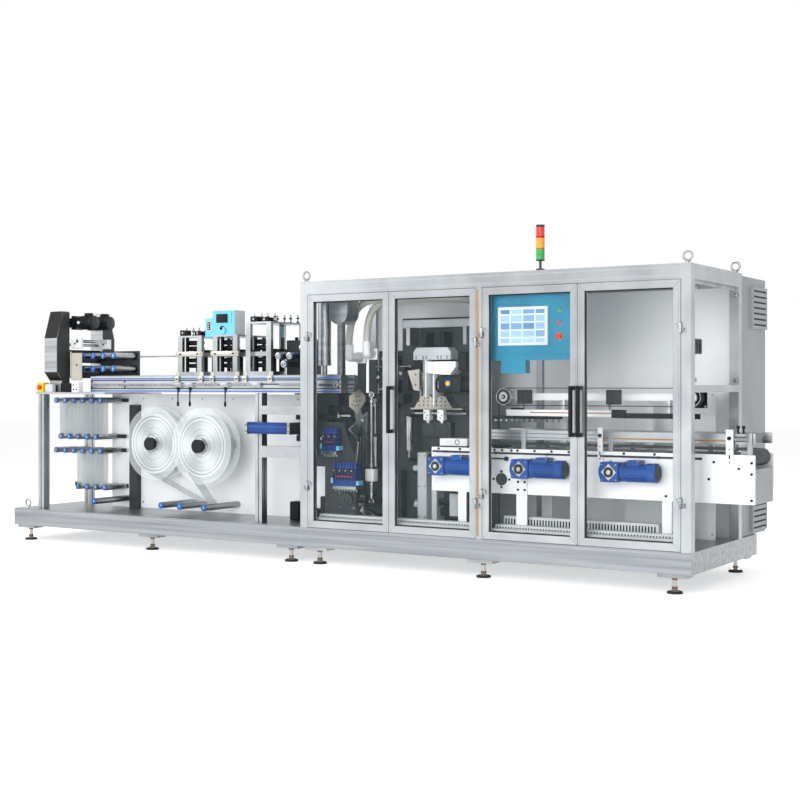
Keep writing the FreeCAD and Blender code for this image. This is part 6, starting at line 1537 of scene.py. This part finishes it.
# dark sheet and bars under the table's right end, a pale sheet below them
done("under_table_sheet", [block((-0.561, -0.137, 0.620), (-0.060, -0.125, 1.150), 0.002)], darkPowder,
     smooth=0)
bars = plates([((x, -0.165, 0.700), (x + w, -0.137, 1.150)) for x,
               w in ((-0.545, 0.022), (-0.490, 0.040), (-0.300, 0.030),
                                                                     (-0.215, 0.018), (-0.150, 0.034))],
              0.002)
bars += plates([((-0.561, -0.200, 0.955), (-0.100, -0.165, 0.995)),
                ((-0.320, -0.235, 0.780), (-0.120, -0.165, 0.870)),
                ((-0.545, -0.215, 0.800), (-0.470, -0.165, 0.905)),
                ((-0.300, -0.220, 1.060), (-0.170, -0.165, 1.148))], 0.003)
done("under_table_bars", bars, blackOxide)
done("under_table_pins", [turned("-Y", (x, -0.215 if x < -0.4 else -0.235, z),
                                 [(0, 0.010), (0.012, 0.010), (0.014, 0.007)], 16)
                          for x, z in ((-0.525, 0.852), (-0.492, 0.852), (-0.300, 0.825), (-0.250, 0.825),
                                       (-0.200, 0.825),
                                       (-0.150, 0.825))], chromePlate)
done("under_table_pale_sheet", [block((-0.561, -0.133, 0.245), (-0.155, -0.121, 0.620), 0.002),
                                block((-0.548, -0.140, 0.262), (-0.300, -0.132, 0.600), 0.003)],
     whitePowder, smooth=0)
done("floor_terminal_boxes", plates([((-0.520, -0.330, 0.245), (-0.440, -0.240, 0.375)),
                                     ((-0.420, -0.320, 0.245), (-0.300, -0.230, 0.330)),
                                     ((-0.275, -0.300, 0.245), (-0.205, -0.220, 0.420))], 0.006),
     blackNylon)

# gear behind the elbows, on top of the machine plate
upper = plates([((0.150, -0.193, 1.150), (0.440, -0.177, 1.440)),
                ((0.165, -0.262, 1.215), (0.228, -0.193, 1.300)),
                ((0.268, -0.250, 1.158), (0.345, -0.193, 1.250)),
                ((0.362, -0.272, 1.236), (0.414, -0.193, 1.330)),
                ((0.180, -0.240, 1.345), (0.260, -0.193, 1.425)),
                ((0.292, -0.255, 1.290), (0.340, -0.193, 1.400)),
                ((0.155, -0.215, 1.318), (0.435, -0.193, 1.334))], 0.004)
done("upper_gear_plate", upper, blackOxide)
pinsUp = [turned("-Y", (x, y, z), [(0, 0.013), (0.016, 0.013), (0.018, 0.009), (0.022, 0.008)], 20)
          for x, y, z in ((0.196, -0.262, 1.258), (0.306, -0.250, 1.205), (0.388, -0.272, 1.284),
                          (0.220, -0.240, 1.385),
                          (0.316, -0.255, 1.346))]
pinsUp += [rodFrom((0.155, -0.235, 1.330), (0.435, -0.235, 1.330), 0.007),
           rodFrom((0.160, -0.222, 1.160), (0.262, -0.222, 1.206), 0.006),
           block((0.150, -0.240, 1.322), (0.162, -0.193, 1.338), 0.001),
           block((0.428, -0.240, 1.322), (0.440, -0.193, 1.338), 0.001)]
done("upper_gear_pins", pinsUp, chromePlate)

# screws along the back sheets, the left sheet and the roof
rear = [(x, 0.179, z) for x0, x1 in ((-0.080, 1.185), (1.255, 2.520)) for x in (x0, x1)
        for z in (0.265, 0.640, 1.020, 1.400, 1.790)]
rear += [(x0 + 0.316 * i, 0.179, z) for x0 in (-0.080, 1.255) for i in (1, 2, 3) for z in (0.265, 1.790)]
rear += [(-2.380 + 0.300 * i, -0.133, z) for i in range(7) for z in (0.290, 1.100)]
done("back_sheet_screws", boltHeads("Y", 0.0065, rear), zincSteel)
done("left_sheet_screws", boltHeads("-Y", 0.0065, [(-2.380 + 0.300 * i, -0.145, z) for i in range(7)
                                                   for z in (0.290, 1.100)]), zincSteel)
done("roof_screws", boltHeads("Z", 0.0065, [(x0 + 0.310 * i, y, 1.900) for x0 in (-0.075, 1.260)
                                            for i in range(5)
                                           for y in (-0.620, 0.130)]), zincSteel)
print("back and underside dressed")
